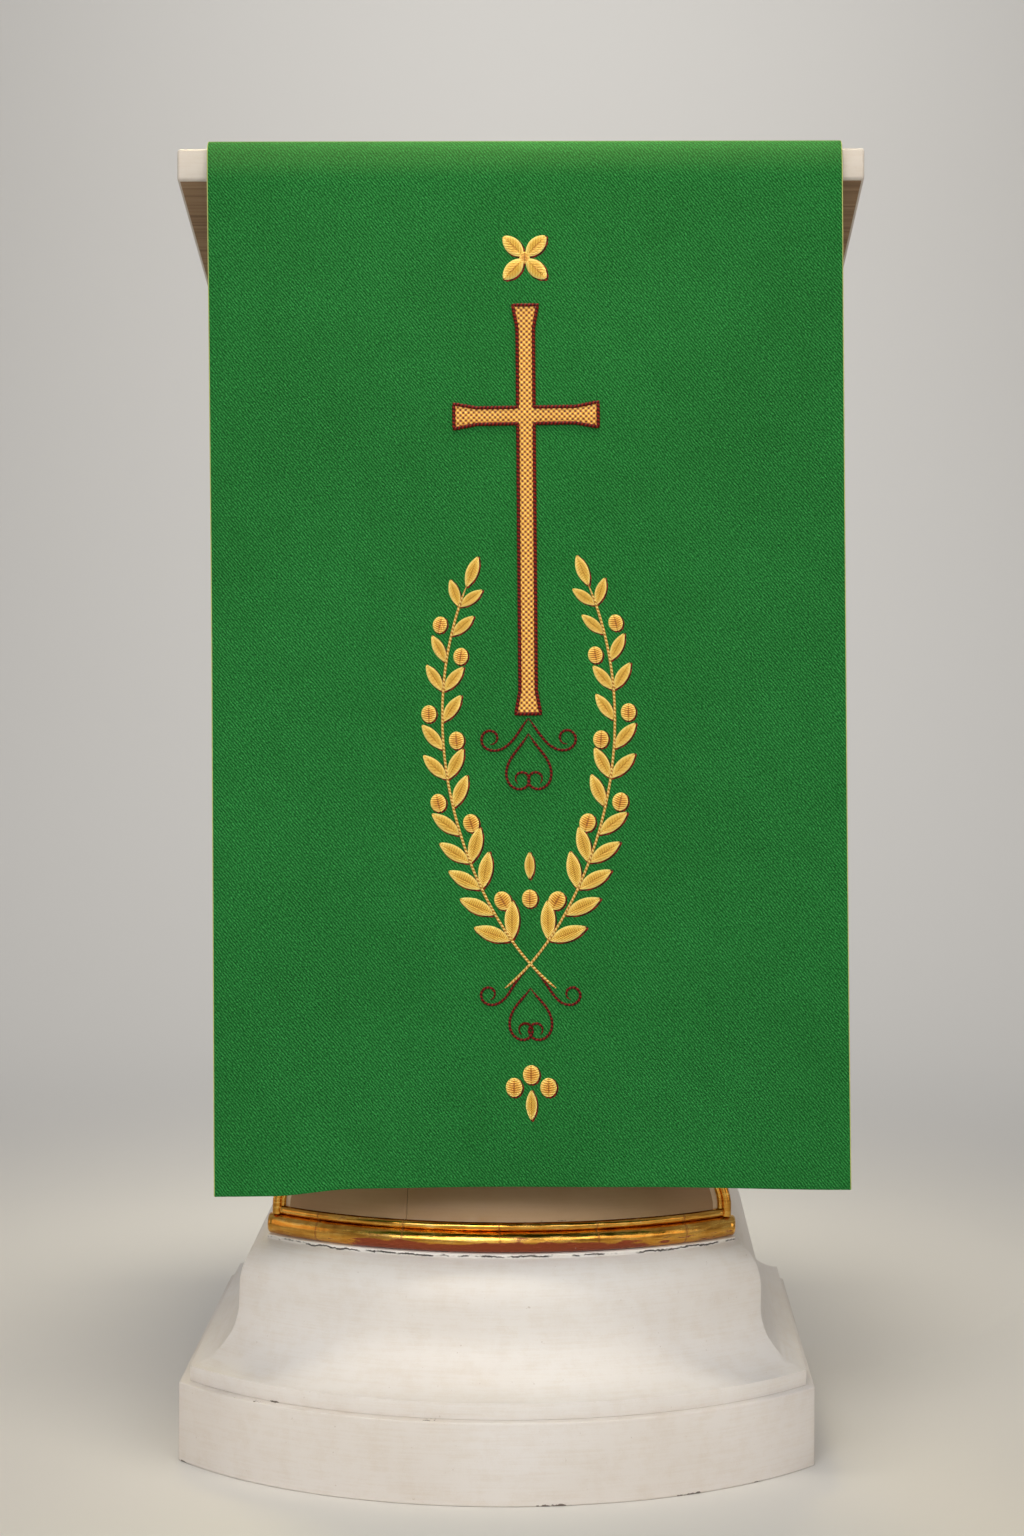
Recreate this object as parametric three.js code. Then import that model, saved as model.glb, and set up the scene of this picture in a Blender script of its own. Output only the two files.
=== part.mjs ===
// A church lectern of painted wood with a long embroidered cover hung over its sloping desk.
// Millimetres. X runs across, -Y faces the people, +Y faces the reader, Z is up.
import * as THREE from 'three';

// Two pieces that meet keep this much between them.
const gap = 0.3;

// The foot in plan: a bowed front on a circle, straight sides that spread a little, a straight back.
const foot = { frontHalf: 261, backHalf: 274, frontCorner: -153, back: 272, bow: 120 };
foot.radius = (foot.frontHalf ** 2 + foot.bow ** 2) / (2 * foot.bow);
foot.centre = foot.frontCorner - foot.bow + foot.radius;
foot.spread = (foot.backHalf - foot.frontHalf) / (foot.back - foot.frontCorner);
const arcSteps = 28;

const plinth = { height: 65, arris: 1.6 };

// The foot moulding steps in from the plinth: a fillet, a hollow, a short upright and a round top.
const footMoulding = { ledge: 8, fillet: 13, neckInset: 45.6, hollow: 51, uprightTop: 141, roundIn: 30, roundUp: 39 };
footMoulding.base = plinth.height + gap;
footMoulding.roundTurn = THREE.MathUtils.degToRad(74);
footMoulding.top = 181.7;

// The shaft, a row for each section: height, and how far it stands in from the plinth's sides.
const shaftBase = footMoulding.top + gap;
const shaftRows = [
  { z: shaftBase, inset: 74 },
  { z: 209, inset: 74 },
  { z: 232, inset: 80 },
  { z: 270, inset: 92 },
  { z: 330, inset: 108 },
  { z: 430, inset: 123 },
  { z: 600, inset: 131 },
  { z: 840, inset: 134 },
];
const shaftTopInset = 134;

// The gilded bead across the foot of the shaft: a half round with a small one above it.
const bead = { radius: 8.6, reach: 7.6, smallRadius: 3.6, smallReach: 4.4 };
bead.base = shaftBase;
bead.top = bead.base + 2 * (bead.radius + bead.smallRadius);

// The gilded strips up the two front corners of the shaft, and the plain panel between them.
const strip = { overhang: 0.5, round: 9, small: 4, reach: 6, smallReach: 3 };
const panel = { margin: 20, thickness: 2.5, base: bead.top + gap, top: 880 };

// The desk board slopes down from its front edge to the reader.
const desk = { width: 543, depth: 430, thickness: 25, front: -228, topFront: 1060, arris: 2 };
desk.slope = THREE.MathUtils.degToRad(17);
desk.back = desk.front + desk.depth;
desk.fall = Math.tan(desk.slope);

// In the photo the lectern leans about a degree to the right on a level plinth, and the desk
// is level again. Everything between the two is moved across by this share of its height.
const lean = 18 / desk.topFront;
desk.offset = lean * desk.topFront;

// The cover: one sheet, longer at the front, rolled softly over both edges of the desk.
const cover = { width: 500, thickness: 2, frontDrop: 812.5, backDrop: 150, bend: 10, offset: 21.2 };
cover.frontClear = 2.8;
cover.backClear = 2.2;
cover.skew = THREE.MathUtils.degToRad(0.63);
cover.settle = 90;

// Soft waves in the front drop: where each lies from the sheet's centre line and below the
// fold, how wide and tall it is, and how far it moves towards the people.
const waves = [
  { across: -105, below: 430, wide: 75, tall: 260, forward: -5 },
  { across: -235, below: 380, wide: 45, tall: 130, forward: -3 },
  { across: -245, below: 560, wide: 50, tall: 150, forward: 3 },
  { across: 125, below: 60, wide: 60, tall: 60, forward: -1.2 },
  { across: 70, below: 560, wide: 90, tall: 240, forward: 2.5 },
  { across: 215, below: 640, wide: 60, tall: 260, forward: -2.5 },
  { across: -250, below: 850, wide: 80, tall: 120, forward: 7 },
  { across: 250, below: 850, wide: 90, tall: 130, forward: 4 },
  { across: 20, below: 850, wide: 160, tall: 200, forward: 4 },
];

// The stitching draws the middle of the front hem up, so its corners hang lower.
const hemRows = [
  { across: -250, lower: 6 },
  { across: -205, lower: 6 },
  { across: -137, lower: 1 },
  { across: -20, lower: 0 },
  { across: 78, lower: 0.4 },
  { across: 250, lower: 3.8 },
];

const paint = new THREE.MeshStandardMaterial({ color: '#dcd0c4', roughness: 0.55, metalness: 0 });
const gilt = new THREE.MeshStandardMaterial({ color: '#b07a2a', roughness: 0.35, metalness: 0.9 });
const woven = new THREE.MeshStandardMaterial({ color: '#2a7032', roughness: 0.95, metalness: 0 });

// A closed solid through rings of points that all have the same count and run anticlockwise
// seen from above, the first ring lowest. The ends are closed with flat faces.
function loftRings(rings) {
  const count = rings[0].length;
  const positions = rings.flat().flatMap((point) => [point.x, point.y, point.z]);
  const faces = [];
  for (let level = 0; level < rings.length - 1; level += 1) {
    for (let i = 0; i < count; i += 1) {
      const low = level * count + i;
      const lowNext = level * count + ((i + 1) % count);
      faces.push(low, lowNext, lowNext + count, low, lowNext + count, low + count);
    }
  }
  const last = (rings.length - 1) * count;
  const capBottom = capFaces(rings[0]);
  const capTop = capFaces(rings[rings.length - 1]);
  capBottom.forEach(([a, b, c]) => faces.push(a, c, b));
  capTop.forEach(([a, b, c]) => faces.push(last + a, last + b, last + c));
  const geometry = new THREE.BufferGeometry();
  geometry.setAttribute('position', new THREE.Float32BufferAttribute(positions, 3));
  geometry.setIndex(faces);
  geometry.computeVertexNormals();
  return geometry;
}

// Triangles across one flat ring, worked out in the plane that the ring faces most.
function capFaces(ring) {
  const normal = new THREE.Vector3();
  ring.forEach((point, i) => {
    const next = ring[(i + 1) % ring.length];
    normal.add(new THREE.Vector3().crossVectors(point, next));
  });
  const across = Math.abs(normal.x) > Math.abs(normal.z) ? new THREE.Vector3(0, 1, 0) : new THREE.Vector3(1, 0, 0);
  const up = new THREE.Vector3().crossVectors(normal, across).normalize();
  const right = new THREE.Vector3().crossVectors(up, normal).normalize();
  const flat = ring.map((point) => new THREE.Vector2(point.dot(right), point.dot(up)));
  return THREE.ShapeUtils.triangulateShape(flat, []);
}

// Half the width of the plan at one depth, for a given inset.
function sideAt(inset, y) {
  return foot.frontHalf - inset * Math.hypot(1, foot.spread) + foot.spread * (y - foot.frontCorner);
}

// The depth of the bowed front at one distance from the middle.
function frontAt(radius, x) {
  return foot.centre - Math.sqrt(radius ** 2 - x ** 2);
}

// The angle from the front's middle to the corner where the bow meets the inset side. The
// side spreads so little that a few rounds settle the corner.
function cornerAngle(frontInset, sideInset = frontInset) {
  const radius = foot.radius - frontInset;
  let half = sideAt(sideInset, foot.frontCorner);
  for (let round = 0; round < 6; round += 1) half = sideAt(sideInset, frontAt(radius, half));
  return Math.asin(half / radius);
}

// A point on the bowed front: an angle from the middle, an inset and a height.
function bowPoint(angle, inset, z) {
  const radius = foot.radius - inset;
  return new THREE.Vector3(radius * Math.sin(angle), foot.centre - radius * Math.cos(angle), z);
}

// One ring of the plan, anticlockwise from the left front corner.
function planRing(inset, height) {
  const end = cornerAngle(inset);
  const ring = [];
  for (let i = 0; i <= arcSteps; i += 1) ring.push(bowPoint(-end + (2 * end * i) / arcSteps, inset, 0));
  const backY = foot.back - inset;
  ring.push(new THREE.Vector3(sideAt(inset, backY), backY, 0));
  ring.push(new THREE.Vector3(-sideAt(inset, backY), backY, 0));
  ring.forEach((point) => {
    point.z = typeof height === 'function' ? height(point.y) : height;
  });
  return ring;
}

function makePlinth() {
  const { height, arris } = plinth;
  return loftRings([
    planRing(arris, 0),
    planRing(0, arris),
    planRing(0, height - arris),
    planRing(arris, height),
  ]);
}

function makeFootMoulding() {
  const { base, ledge, fillet, neckInset, hollow, uprightTop, roundIn, roundUp, roundTurn, top } = footMoulding;
  const rings = [planRing(ledge, base), planRing(ledge, plinth.height + fillet)];
  const hollowEnd = Math.acos((ledge + 2 - (neckInset - hollow)) / hollow);
  const hollowTop = plinth.height + fillet + hollow * Math.sin(hollowEnd);
  for (let i = 0; i <= 7; i += 1) {
    const turn = hollowEnd * (1 - i / 7);
    rings.push(planRing(neckInset - hollow + hollow * Math.cos(turn), hollowTop - hollow * Math.sin(turn)));
  }
  for (let i = 0; i <= 7; i += 1) {
    const turn = (roundTurn * i) / 7;
    rings.push(planRing(neckInset + roundIn * (1 - Math.cos(turn)), uprightTop + roundUp * Math.sin(turn)));
  }
  rings.push(planRing(neckInset + roundIn * (1 - Math.cos(roundTurn)), top));
  return loftRings(rings);
}

// The underside of the desk at one depth, which the shaft's slanted top stops just short of.
function underDesk(y) {
  return desk.topFront - desk.thickness - (y - desk.front) * desk.fall;
}

function makeShaft() {
  const rings = shaftRows.map(({ z, inset }) => planRing(inset, z));
  rings.push(planRing(shaftTopInset, (y) => underDesk(y) - gap));
  return loftRings(rings);
}

// The bead's outline as pairs of reach from the shaft and height, from its bottom to its top.
function beadOutline() {
  const outline = [{ reach: 0, z: bead.base }];
  const addRound = (radius, reach, base) => {
    for (let i = 0; i <= 8; i += 1) {
      const turn = (Math.PI * i) / 8;
      outline.push({ reach: 1 + (reach - 1) * Math.sin(turn), z: base + radius * (1 - Math.cos(turn)) });
    }
  };
  addRound(bead.radius, bead.reach, bead.base);
  addRound(bead.smallRadius, bead.smallReach, bead.base + 2 * bead.radius);
  outline.push({ reach: 0, z: bead.top });
  return outline;
}

function makeBead() {
  const outline = beadOutline();
  const rings = [];
  const face = shaftRows[0].inset - gap;
  for (let i = 0; i <= arcSteps; i += 1) {
    rings.push(outline.map(({ reach, z }) => {
      const inset = face - reach;
      const end = cornerAngle(inset, face - bead.reach + 1);
      return bowPoint(end - (2 * end * i) / arcSteps, inset, z);
    }));
  }
  return loftRings(rings);
}

// How far the shaft stands in at one height, straight between the rows of its table.
function shaftInset(z) {
  const next = shaftRows.findIndex((row) => row.z >= z);
  if (next < 0) return shaftTopInset;
  if (next === 0) return shaftRows[0].inset;
  const low = shaftRows[next - 1];
  const high = shaftRows[next];
  return THREE.MathUtils.mapLinear(z, low.z, high.z, low.inset, high.inset);
}

// The strip's outline across its width: distance from the shaft's corner and reach from its face.
function stripOutline() {
  const { overhang, round, small, reach, smallReach } = strip;
  const outline = [{ along: -overhang, reach: 0 }];
  for (let i = 0; i <= 6; i += 1) {
    const turn = (Math.PI * i) / 6;
    outline.push({ along: -overhang + (round / 2) * (1 - Math.cos(turn)), reach: 1 + (reach - 1) * Math.sin(turn) });
  }
  for (let i = 0; i <= 4; i += 1) {
    const turn = (Math.PI * i) / 4;
    const along = -overhang + round + (small / 2) * (1 - Math.cos(turn));
    outline.push({ along, reach: 1 + (smallReach - 1) * Math.sin(turn) });
  }
  outline.push({ along: -overhang + round + small, reach: 0 });
  return outline;
}

function makeStrip(side) {
  const outline = stripOutline();
  const ringAt = (inset, height) => {
    const corner = cornerAngle(inset);
    const ring = outline.map(({ along, reach }) => {
      const angle = corner - along / (foot.radius - inset);
      const point = bowPoint(side * angle, inset - gap - reach, 0);
      point.z = typeof height === 'function' ? height(point.y) : height;
      return point;
    });
    return side > 0 ? ring.reverse() : ring;
  };
  const base = bead.top + gap;
  const rings = [ringAt(shaftInset(base), base)];
  shaftRows.filter((row) => row.z > base + 1).forEach((row) => rings.push(ringAt(row.inset, row.z)));
  rings.push(ringAt(shaftTopInset, (y) => underDesk(y) - gap));
  return loftRings(rings);
}

function makePanel() {
  const ringAt = (z) => {
    const inset = shaftInset(z);
    const end = cornerAngle(inset) - panel.margin / (foot.radius - inset);
    const ring = [];
    for (let i = 0; i <= arcSteps; i += 1) {
      ring.push(bowPoint(-end + (2 * end * i) / arcSteps, inset - gap - panel.thickness, z));
    }
    for (let i = arcSteps; i >= 0; i -= 1) ring.push(bowPoint(-end + (2 * end * i) / arcSteps, inset - gap, z));
    return ring;
  };
  const rows = shaftRows.filter((row) => row.z > panel.base + 1 && row.z < panel.top).map((row) => row.z);
  return loftRings([panel.base, ...rows, panel.top].map(ringAt));
}

// The board: its side outline, with a vertical front face, pushed out across the width.
function makeDeskBoard() {
  const { depth, thickness, fall, arris, width } = desk;
  const inner = depth - 2 * arris;
  const shape = new THREE.Shape();
  shape.moveTo(arris, -arris - arris * fall);
  shape.lineTo(arris, arris - thickness - arris * fall);
  shape.lineTo(arris + inner, arris - thickness - (arris + inner) * fall);
  shape.lineTo(arris + inner, -arris - (arris + inner) * fall);
  const geometry = new THREE.ExtrudeGeometry(shape, {
    depth: width - 2 * arris,
    bevelEnabled: true,
    bevelThickness: arris,
    bevelSize: arris,
    bevelSegments: 3,
    steps: 1,
  });
  geometry.translate(0, 0, arris - width / 2);
  // The outline's X becomes the depth and its Y the height.
  geometry.applyMatrix4(new THREE.Matrix4().set(0, 0, 1, 0, 1, 0, 0, 0, 0, 1, 0, 0, 0, 0, 0, 1));
  return geometry;
}

// The cover's middle surface seen from the side. Distance is measured along the cloth from
// the foot of the front roll: positive down the front, negative up over the roll and the desk.
function makeCoverPath() {
  const { bend, thickness, frontClear, backClear, settle } = cover;
  const middle = bend + thickness / 2;
  const frontCentre = {
    y: desk.front + (bend - frontClear) * Math.sin((Math.PI / 2 - desk.slope) / 2),
    z: desk.topFront - (bend - frontClear) * Math.cos((Math.PI / 2 - desk.slope) / 2),
  };
  const backCorner = { y: desk.back, z: desk.topFront - desk.depth * desk.fall };
  const backHalf = (Math.PI / 2 + desk.slope) / 2;
  const backCentre = {
    y: backCorner.y - (bend - backClear) * Math.sin(backHalf),
    z: backCorner.z - (bend - backClear) * Math.cos(backHalf),
  };
  const frontTurn = Math.PI / 2 + desk.slope;
  const backTurn = Math.PI / 2 - desk.slope;
  const frontArc = middle * frontTurn;
  const backArc = middle * backTurn;
  const along = { y: Math.cos(desk.slope), z: -Math.sin(desk.slope) };
  const normal = { y: Math.sin(desk.slope), z: Math.cos(desk.slope) };
  const slopeStart = { y: frontCentre.y + middle * normal.y, z: frontCentre.z + middle * normal.z };
  const slopeEnd = { y: backCentre.y + middle * normal.y, z: backCentre.z + middle * normal.z };
  const slope = (slopeEnd.y - slopeStart.y) * along.y + (slopeEnd.z - slopeStart.z) * along.z;
  const heightOver = (point) => {
    const top = desk.topFront - (point.y - desk.front) * desk.fall;
    return (point.z - top) * Math.cos(desk.slope);
  };
  const frontLift = heightOver(slopeStart);
  const backLift = heightOver(slopeEnd);
  const rest = gap + thickness / 2;
  const liftAt = (distance) => {
    const leave = THREE.MathUtils.smoothstep(distance, 0, settle);
    const reach = THREE.MathUtils.smoothstep(distance, slope - settle * 0.7, slope);
    return frontLift + (rest - frontLift) * leave + (backLift - rest) * reach;
  };
  const straight = slopeStart.z - backCentre.z;
  return {
    frontArc, backArc, slope, length: frontArc + slope + backArc + cover.backDrop, straight,
    at(distance) {
      if (distance >= 0) return { y: frontCentre.y - middle, z: frontCentre.z - distance };
      let back = -distance;
      if (back <= frontArc) {
        const turn = back / middle;
        return { y: frontCentre.y - middle * Math.cos(turn), z: frontCentre.z + middle * Math.sin(turn) };
      }
      back -= frontArc;
      if (back <= slope) {
        const lift = liftAt(back);
        const base = { y: slopeStart.y + along.y * back, z: slopeStart.z + along.z * back };
        const over = lift - heightOver(base);
        return { y: base.y + normal.y * over, z: base.z + normal.z * over };
      }
      back -= slope;
      if (back <= backArc) {
        const turn = Math.PI / 2 - desk.slope - back / middle;
        return { y: backCentre.y + middle * Math.cos(turn), z: backCentre.z + middle * Math.sin(turn) };
      }
      return { y: backCentre.y + middle, z: backCentre.z - (back - backArc) };
    },
  };
}

// A smooth reading of the hem table.
function hemLower(across) {
  const next = hemRows.findIndex((row) => row.across >= across);
  if (next <= 0) return hemRows[next === 0 ? 0 : hemRows.length - 1].lower;
  const low = hemRows[next - 1];
  const high = hemRows[next];
  const share = THREE.MathUtils.smoothstep(across, low.across, high.across);
  return low.lower + (high.lower - low.lower) * share;
}

// How far the front drop leans towards the people at one place.
function waveForward(across, below) {
  const sum = waves.reduce((total, wave) => {
    const dx = (across - wave.across) / wave.wide;
    const dz = (below - wave.below) / wave.tall;
    return total + wave.forward * Math.exp(-0.5 * (dx * dx + dz * dz));
  }, 0);
  return sum * THREE.MathUtils.smoothstep(below, 0, 120);
}

// A point of the cover's middle surface: across from its centre line, and along it from the
// front fold, where positive is down the front.
function coverPoint(path, across, along) {
  const x = across * Math.cos(cover.skew) + along * Math.sin(cover.skew);
  const distance = along * Math.cos(cover.skew) - across * Math.sin(cover.skew);
  const hung = distance > 0 ? hemLower(across) * (distance / cover.frontDrop) ** 2 : 0;
  const base = path.at(distance + hung);
  const forward = distance > 0 ? waveForward(across, distance) : 0;
  return new THREE.Vector3(cover.offset + x, base.y - forward, base.z);
}

// Rows of the cover's grid along its length, closer together round the rolls.
function coverRows(path) {
  const stretches = [
    { from: cover.frontDrop, to: 12, steps: 24 },
    { from: 12, to: -path.frontArc - 12, steps: 10 },
    { from: -path.frontArc - 12, to: -path.frontArc - path.slope + 12, steps: 14 },
    { from: -path.frontArc - path.slope + 12, to: -path.frontArc - path.slope - path.backArc - 12, steps: 8 },
    { from: -path.frontArc - path.slope - path.backArc - 12, to: -path.length, steps: 5 },
  ];
  const rows = [cover.frontDrop];
  stretches.forEach(({ from, to, steps }) => {
    for (let i = 1; i <= steps; i += 1) rows.push(from + ((to - from) * i) / steps);
  });
  return rows;
}

function makeCover() {
  const path = makeCoverPath();
  const rows = coverRows(path);
  const columns = 24;
  const step = 1;
  const outer = [];
  const inner = [];
  rows.forEach((along) => {
    for (let i = 0; i <= columns; i += 1) {
      const across = cover.width * (i / columns - 0.5);
      const point = coverPoint(path, across, along);
      const right = coverPoint(path, across + step, along).sub(coverPoint(path, across - step, along));
      const up = coverPoint(path, across, along - step).sub(coverPoint(path, across, along + step));
      const normal = right.cross(up).normalize().multiplyScalar(cover.thickness / 2);
      outer.push(point.clone().add(normal));
      inner.push(point.clone().sub(normal));
    }
  });
  return sheetGeometry(outer, inner, rows.length, columns + 1);
}

// A closed sheet from its outer and inner grids of points.
function sheetGeometry(outer, inner, rowCount, columnCount) {
  const positions = [...outer, ...inner].flatMap((point) => [point.x, point.y, point.z]);
  const back = outer.length;
  const faces = [];
  const quad = (a, b, c, d) => faces.push(a, b, c, a, c, d);
  for (let row = 0; row < rowCount - 1; row += 1) {
    for (let column = 0; column < columnCount - 1; column += 1) {
      const a = row * columnCount + column;
      quad(a, a + 1, a + 1 + columnCount, a + columnCount);
      quad(back + a, back + a + columnCount, back + a + 1 + columnCount, back + a + 1);
    }
    const left = row * columnCount;
    const right = left + columnCount - 1;
    quad(left, left + columnCount, back + left + columnCount, back + left);
    quad(right, back + right, back + right + columnCount, right + columnCount);
  }
  for (let column = 0; column < columnCount - 1; column += 1) {
    const far = (rowCount - 1) * columnCount + column;
    quad(column, back + column, back + column + 1, column + 1);
    quad(far, far + 1, back + far + 1, back + far);
  }
  const geometry = new THREE.BufferGeometry();
  geometry.setAttribute('position', new THREE.Float32BufferAttribute(positions, 3));
  geometry.setIndex(faces);
  geometry.computeVertexNormals();
  return geometry;
}

// The same geometry with its points moved across by the lean.
function leaned(geometry) {
  const shear = new THREE.Matrix4().set(1, 0, lean, 0, 0, 1, 0, 0, 0, 0, 1, 0, 0, 0, 0, 1);
  return geometry.applyMatrix4(shear);
}

function addPiece(parent, name, geometry, material) {
  const mesh = new THREE.Mesh(geometry, material.clone());
  mesh.name = name;
  parent.add(mesh);
  return mesh;
}

const lectern = new THREE.Group();
lectern.name = 'lectern_with_cover';
addPiece(lectern, 'plinth', makePlinth(), paint);
addPiece(lectern, 'foot_moulding', leaned(makeFootMoulding()), paint);
addPiece(lectern, 'shaft', leaned(makeShaft()), paint);
addPiece(lectern, 'front_panel', leaned(makePanel()), paint);
addPiece(lectern, 'gilded_bead', leaned(makeBead()), gilt);
addPiece(lectern, 'gilded_strip_left', leaned(makeStrip(-1)), gilt);
addPiece(lectern, 'gilded_strip_right', leaned(makeStrip(1)), gilt);
const board = addPiece(lectern, 'desk_board', makeDeskBoard(), paint);
board.position.set(desk.offset, desk.front, desk.topFront);
addPiece(lectern, 'cover', makeCover(), woven);

export default lectern;
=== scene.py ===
# A church lectern of painted and gilded wood, with a long green wool cover embroidered in gold.
# Everything is in metres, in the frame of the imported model: +X to the right, -Y to the people.
import math
import bpy
import bmesh
from mathutils import Matrix, Vector


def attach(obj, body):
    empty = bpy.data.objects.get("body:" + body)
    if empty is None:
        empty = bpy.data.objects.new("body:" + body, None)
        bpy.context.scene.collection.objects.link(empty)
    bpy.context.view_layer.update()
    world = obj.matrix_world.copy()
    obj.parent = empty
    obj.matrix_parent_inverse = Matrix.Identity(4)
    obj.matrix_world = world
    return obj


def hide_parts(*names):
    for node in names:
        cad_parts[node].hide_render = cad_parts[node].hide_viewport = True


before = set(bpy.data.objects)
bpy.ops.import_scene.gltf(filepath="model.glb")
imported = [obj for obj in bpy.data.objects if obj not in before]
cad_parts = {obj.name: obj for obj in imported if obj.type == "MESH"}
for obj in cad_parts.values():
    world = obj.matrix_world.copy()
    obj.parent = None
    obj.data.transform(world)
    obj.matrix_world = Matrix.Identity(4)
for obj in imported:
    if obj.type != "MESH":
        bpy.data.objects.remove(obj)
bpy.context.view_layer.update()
scene = bpy.context.scene
scene.view_settings.view_transform = "Standard"

# ---- camera, from the photo's vanishing lines
camera = {"place": (0.0493, -2.153, 0.5704), "turn": (math.pi / 2, -0.0028, 0.0188), "lens": 57.15}
cameraData = bpy.data.cameras.new("camera")
cameraData.lens = camera["lens"]
cameraData.sensor_fit = "VERTICAL"
cameraData.sensor_height = 36
cameraObject = bpy.data.objects.new("camera", cameraData)
cameraObject.location = camera["place"]
cameraObject.rotation_euler = camera["turn"]
scene.collection.objects.link(cameraObject)
scene.camera = cameraObject


# ---- small tools
def deselectAll():
    if bpy.context.object and bpy.context.object.mode != "OBJECT":
        bpy.ops.object.mode_set(mode="OBJECT")
    bpy.ops.object.select_all(action="DESELECT")


def named(name):
    # the primitive just added, with its place and size moved into its mesh
    obj = bpy.context.object
    obj.name = obj.data.name = name
    bpy.ops.object.transform_apply(location=True, rotation=True, scale=True)
    return obj


def activate(obj):
    deselectAll()
    obj.select_set(True)
    bpy.context.view_layer.objects.active = obj


def choose(obj, kind="FACE", test=lambda item: True):
    # edit mode with only the wanted vertices, edges or faces selected
    activate(obj)
    bpy.ops.object.mode_set(mode="EDIT")
    bpy.ops.mesh.select_mode(type=kind)
    bpy.ops.mesh.select_all(action="DESELECT")
    shape = bmesh.from_edit_mesh(obj.data)
    for item in {"VERT": shape.verts, "EDGE": shape.edges, "FACE": shape.faces}[kind]:
        if test(item):
            item.select_set(True)
    bmesh.update_edit_mesh(obj.data)


def closeHoles(obj):
    # a flat face over each open end, then all normals outwards
    choose(obj, "EDGE", lambda edge: len(edge.link_faces) == 1)
    bpy.ops.mesh.edge_face_add()
    bpy.ops.mesh.select_all(action="SELECT")
    bpy.ops.mesh.normals_make_consistent(inside=False)
    bpy.ops.object.mode_set(mode="OBJECT")


def cutAway(obj, place, normal):
    # everything on the normal's side goes, and the cut is filled
    choose(obj)
    bpy.ops.mesh.bisect(plane_co=place, plane_no=normal, use_fill=True, clear_outer=True)
    bpy.ops.object.mode_set(mode="OBJECT")


def applyAll(obj):
    activate(obj)
    for modifier in list(obj.modifiers):
        bpy.ops.object.modifier_apply(modifier=modifier.name)


def combine(obj, other, how):
    # INTERSECT gives a true mitre where bowed and straight sides meet
    meet = obj.modifiers.new("meet", "BOOLEAN")
    meet.operation = how
    meet.solver = "EXACT"
    meet.object = other
    applyAll(obj)
    bpy.data.objects.remove(other)


def softenEdges(obj, width, angle=35, segments=2):
    soften = obj.modifiers.new("soften", "BEVEL")
    soften.width = width
    soften.segments = segments
    soften.limit_method = "ANGLE"
    soften.angle_limit = math.radians(angle)
    soften.harden_normals = False
    applyAll(obj)


def smooth(obj, angle=35):
    activate(obj)
    bpy.ops.object.shade_smooth_by_angle(angle=math.radians(angle))


def joined(objects, name):
    activate(objects[0])
    for obj in objects:
        obj.select_set(True)
    bpy.ops.object.join()
    obj = bpy.context.object
    obj.name = obj.data.name = name
    return obj


def twin(obj):
    # a copy with its own mesh
    other = obj.copy()
    other.data = obj.data.copy()
    scene.collection.objects.link(other)
    return other


def useFlatUv(obj):
    # a motif's flat place in metres is its UV, so that the stitches follow it
    uvs = obj.data.uv_layers.active.data
    for loop in obj.data.loops:
        uvs[loop.index].uv = obj.data.vertices[loop.vertex_index].co[:2]


def ease(low, high, value):
    share = min(max((value - low) / (high - low), 0), 1)
    return share * share * (3 - 2 * share)


# ---- the lectern's plan: a bowed front, sides that spread a little and a straight back
foot = {"frontHalf": 0.261, "backHalf": 0.274, "frontCorner": -0.153, "back": 0.272, "bow": 0.120}
foot["radius"] = (foot["frontHalf"] ** 2 + foot["bow"] ** 2) / (2 * foot["bow"])
foot["centre"] = foot["frontCorner"] - foot["bow"] + foot["radius"]
foot["spread"] = (foot["backHalf"] - foot["frontHalf"]) / (foot["back"] - foot["frontCorner"])
lean = 0.018 / 1.060  # the lectern leans a degree to the right between plinth and desk
bowSteps = 224
sideNormal = Vector((1, -foot["spread"], 0)).normalized()


def leanOver(obj):
    obj.data.transform(Matrix(((1, 0, lean, 0), (0, 1, 0, 0), (0, 0, 1, 0), (0, 0, 0, 1))))


def climb(rows):
    # the selected face steps in and up through rows of inset and height
    for (inset, height), (nextInset, nextHeight) in zip(rows, rows[1:]):
        if abs(nextInset - inset) < 1e-7:
            bpy.ops.mesh.extrude_region_move(TRANSFORM_OT_translate={"value": (0, 0, nextHeight - height)})
        else:
            bpy.ops.mesh.inset(thickness=nextInset - inset, depth=nextHeight - height, use_even_offset=True)


def bowedBody(name, rows):
    # a round body with the profile of the bowed front
    deselectAll()
    bpy.ops.mesh.primitive_circle_add(vertices=bowSteps, radius=foot["radius"] - rows[0][0], fill_type="NGON",
                                      location=(0, foot["centre"], rows[0][1]))
    obj = named(name)
    choose(obj)
    climb(rows)
    closeHoles(obj)
    return obj


def straightBody(name, rows, tighter=0.0, reach=0.36):
    # a body with the same profile on its two spreading sides and its back
    deselectAll()
    bpy.ops.mesh.primitive_plane_add(size=1, location=(0, 0, rows[0][1]))
    obj = named(name)
    for vertex in obj.data.vertices:
        front = vertex.co.y < 0
        vertex.co.y = -reach if front else foot["back"] - rows[0][0]
        half = foot["frontHalf"] + foot["spread"] * (vertex.co.y - foot["frontCorner"])
        half -= (rows[0][0] + tighter) * math.hypot(1, foot["spread"])
        vertex.co.x = math.copysign(half, vertex.co.x)
    choose(obj)
    climb(rows)
    closeHoles(obj)
    return obj


# ---- plinth
plinth = {"height": 0.065, "arris": 0.0016}


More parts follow.
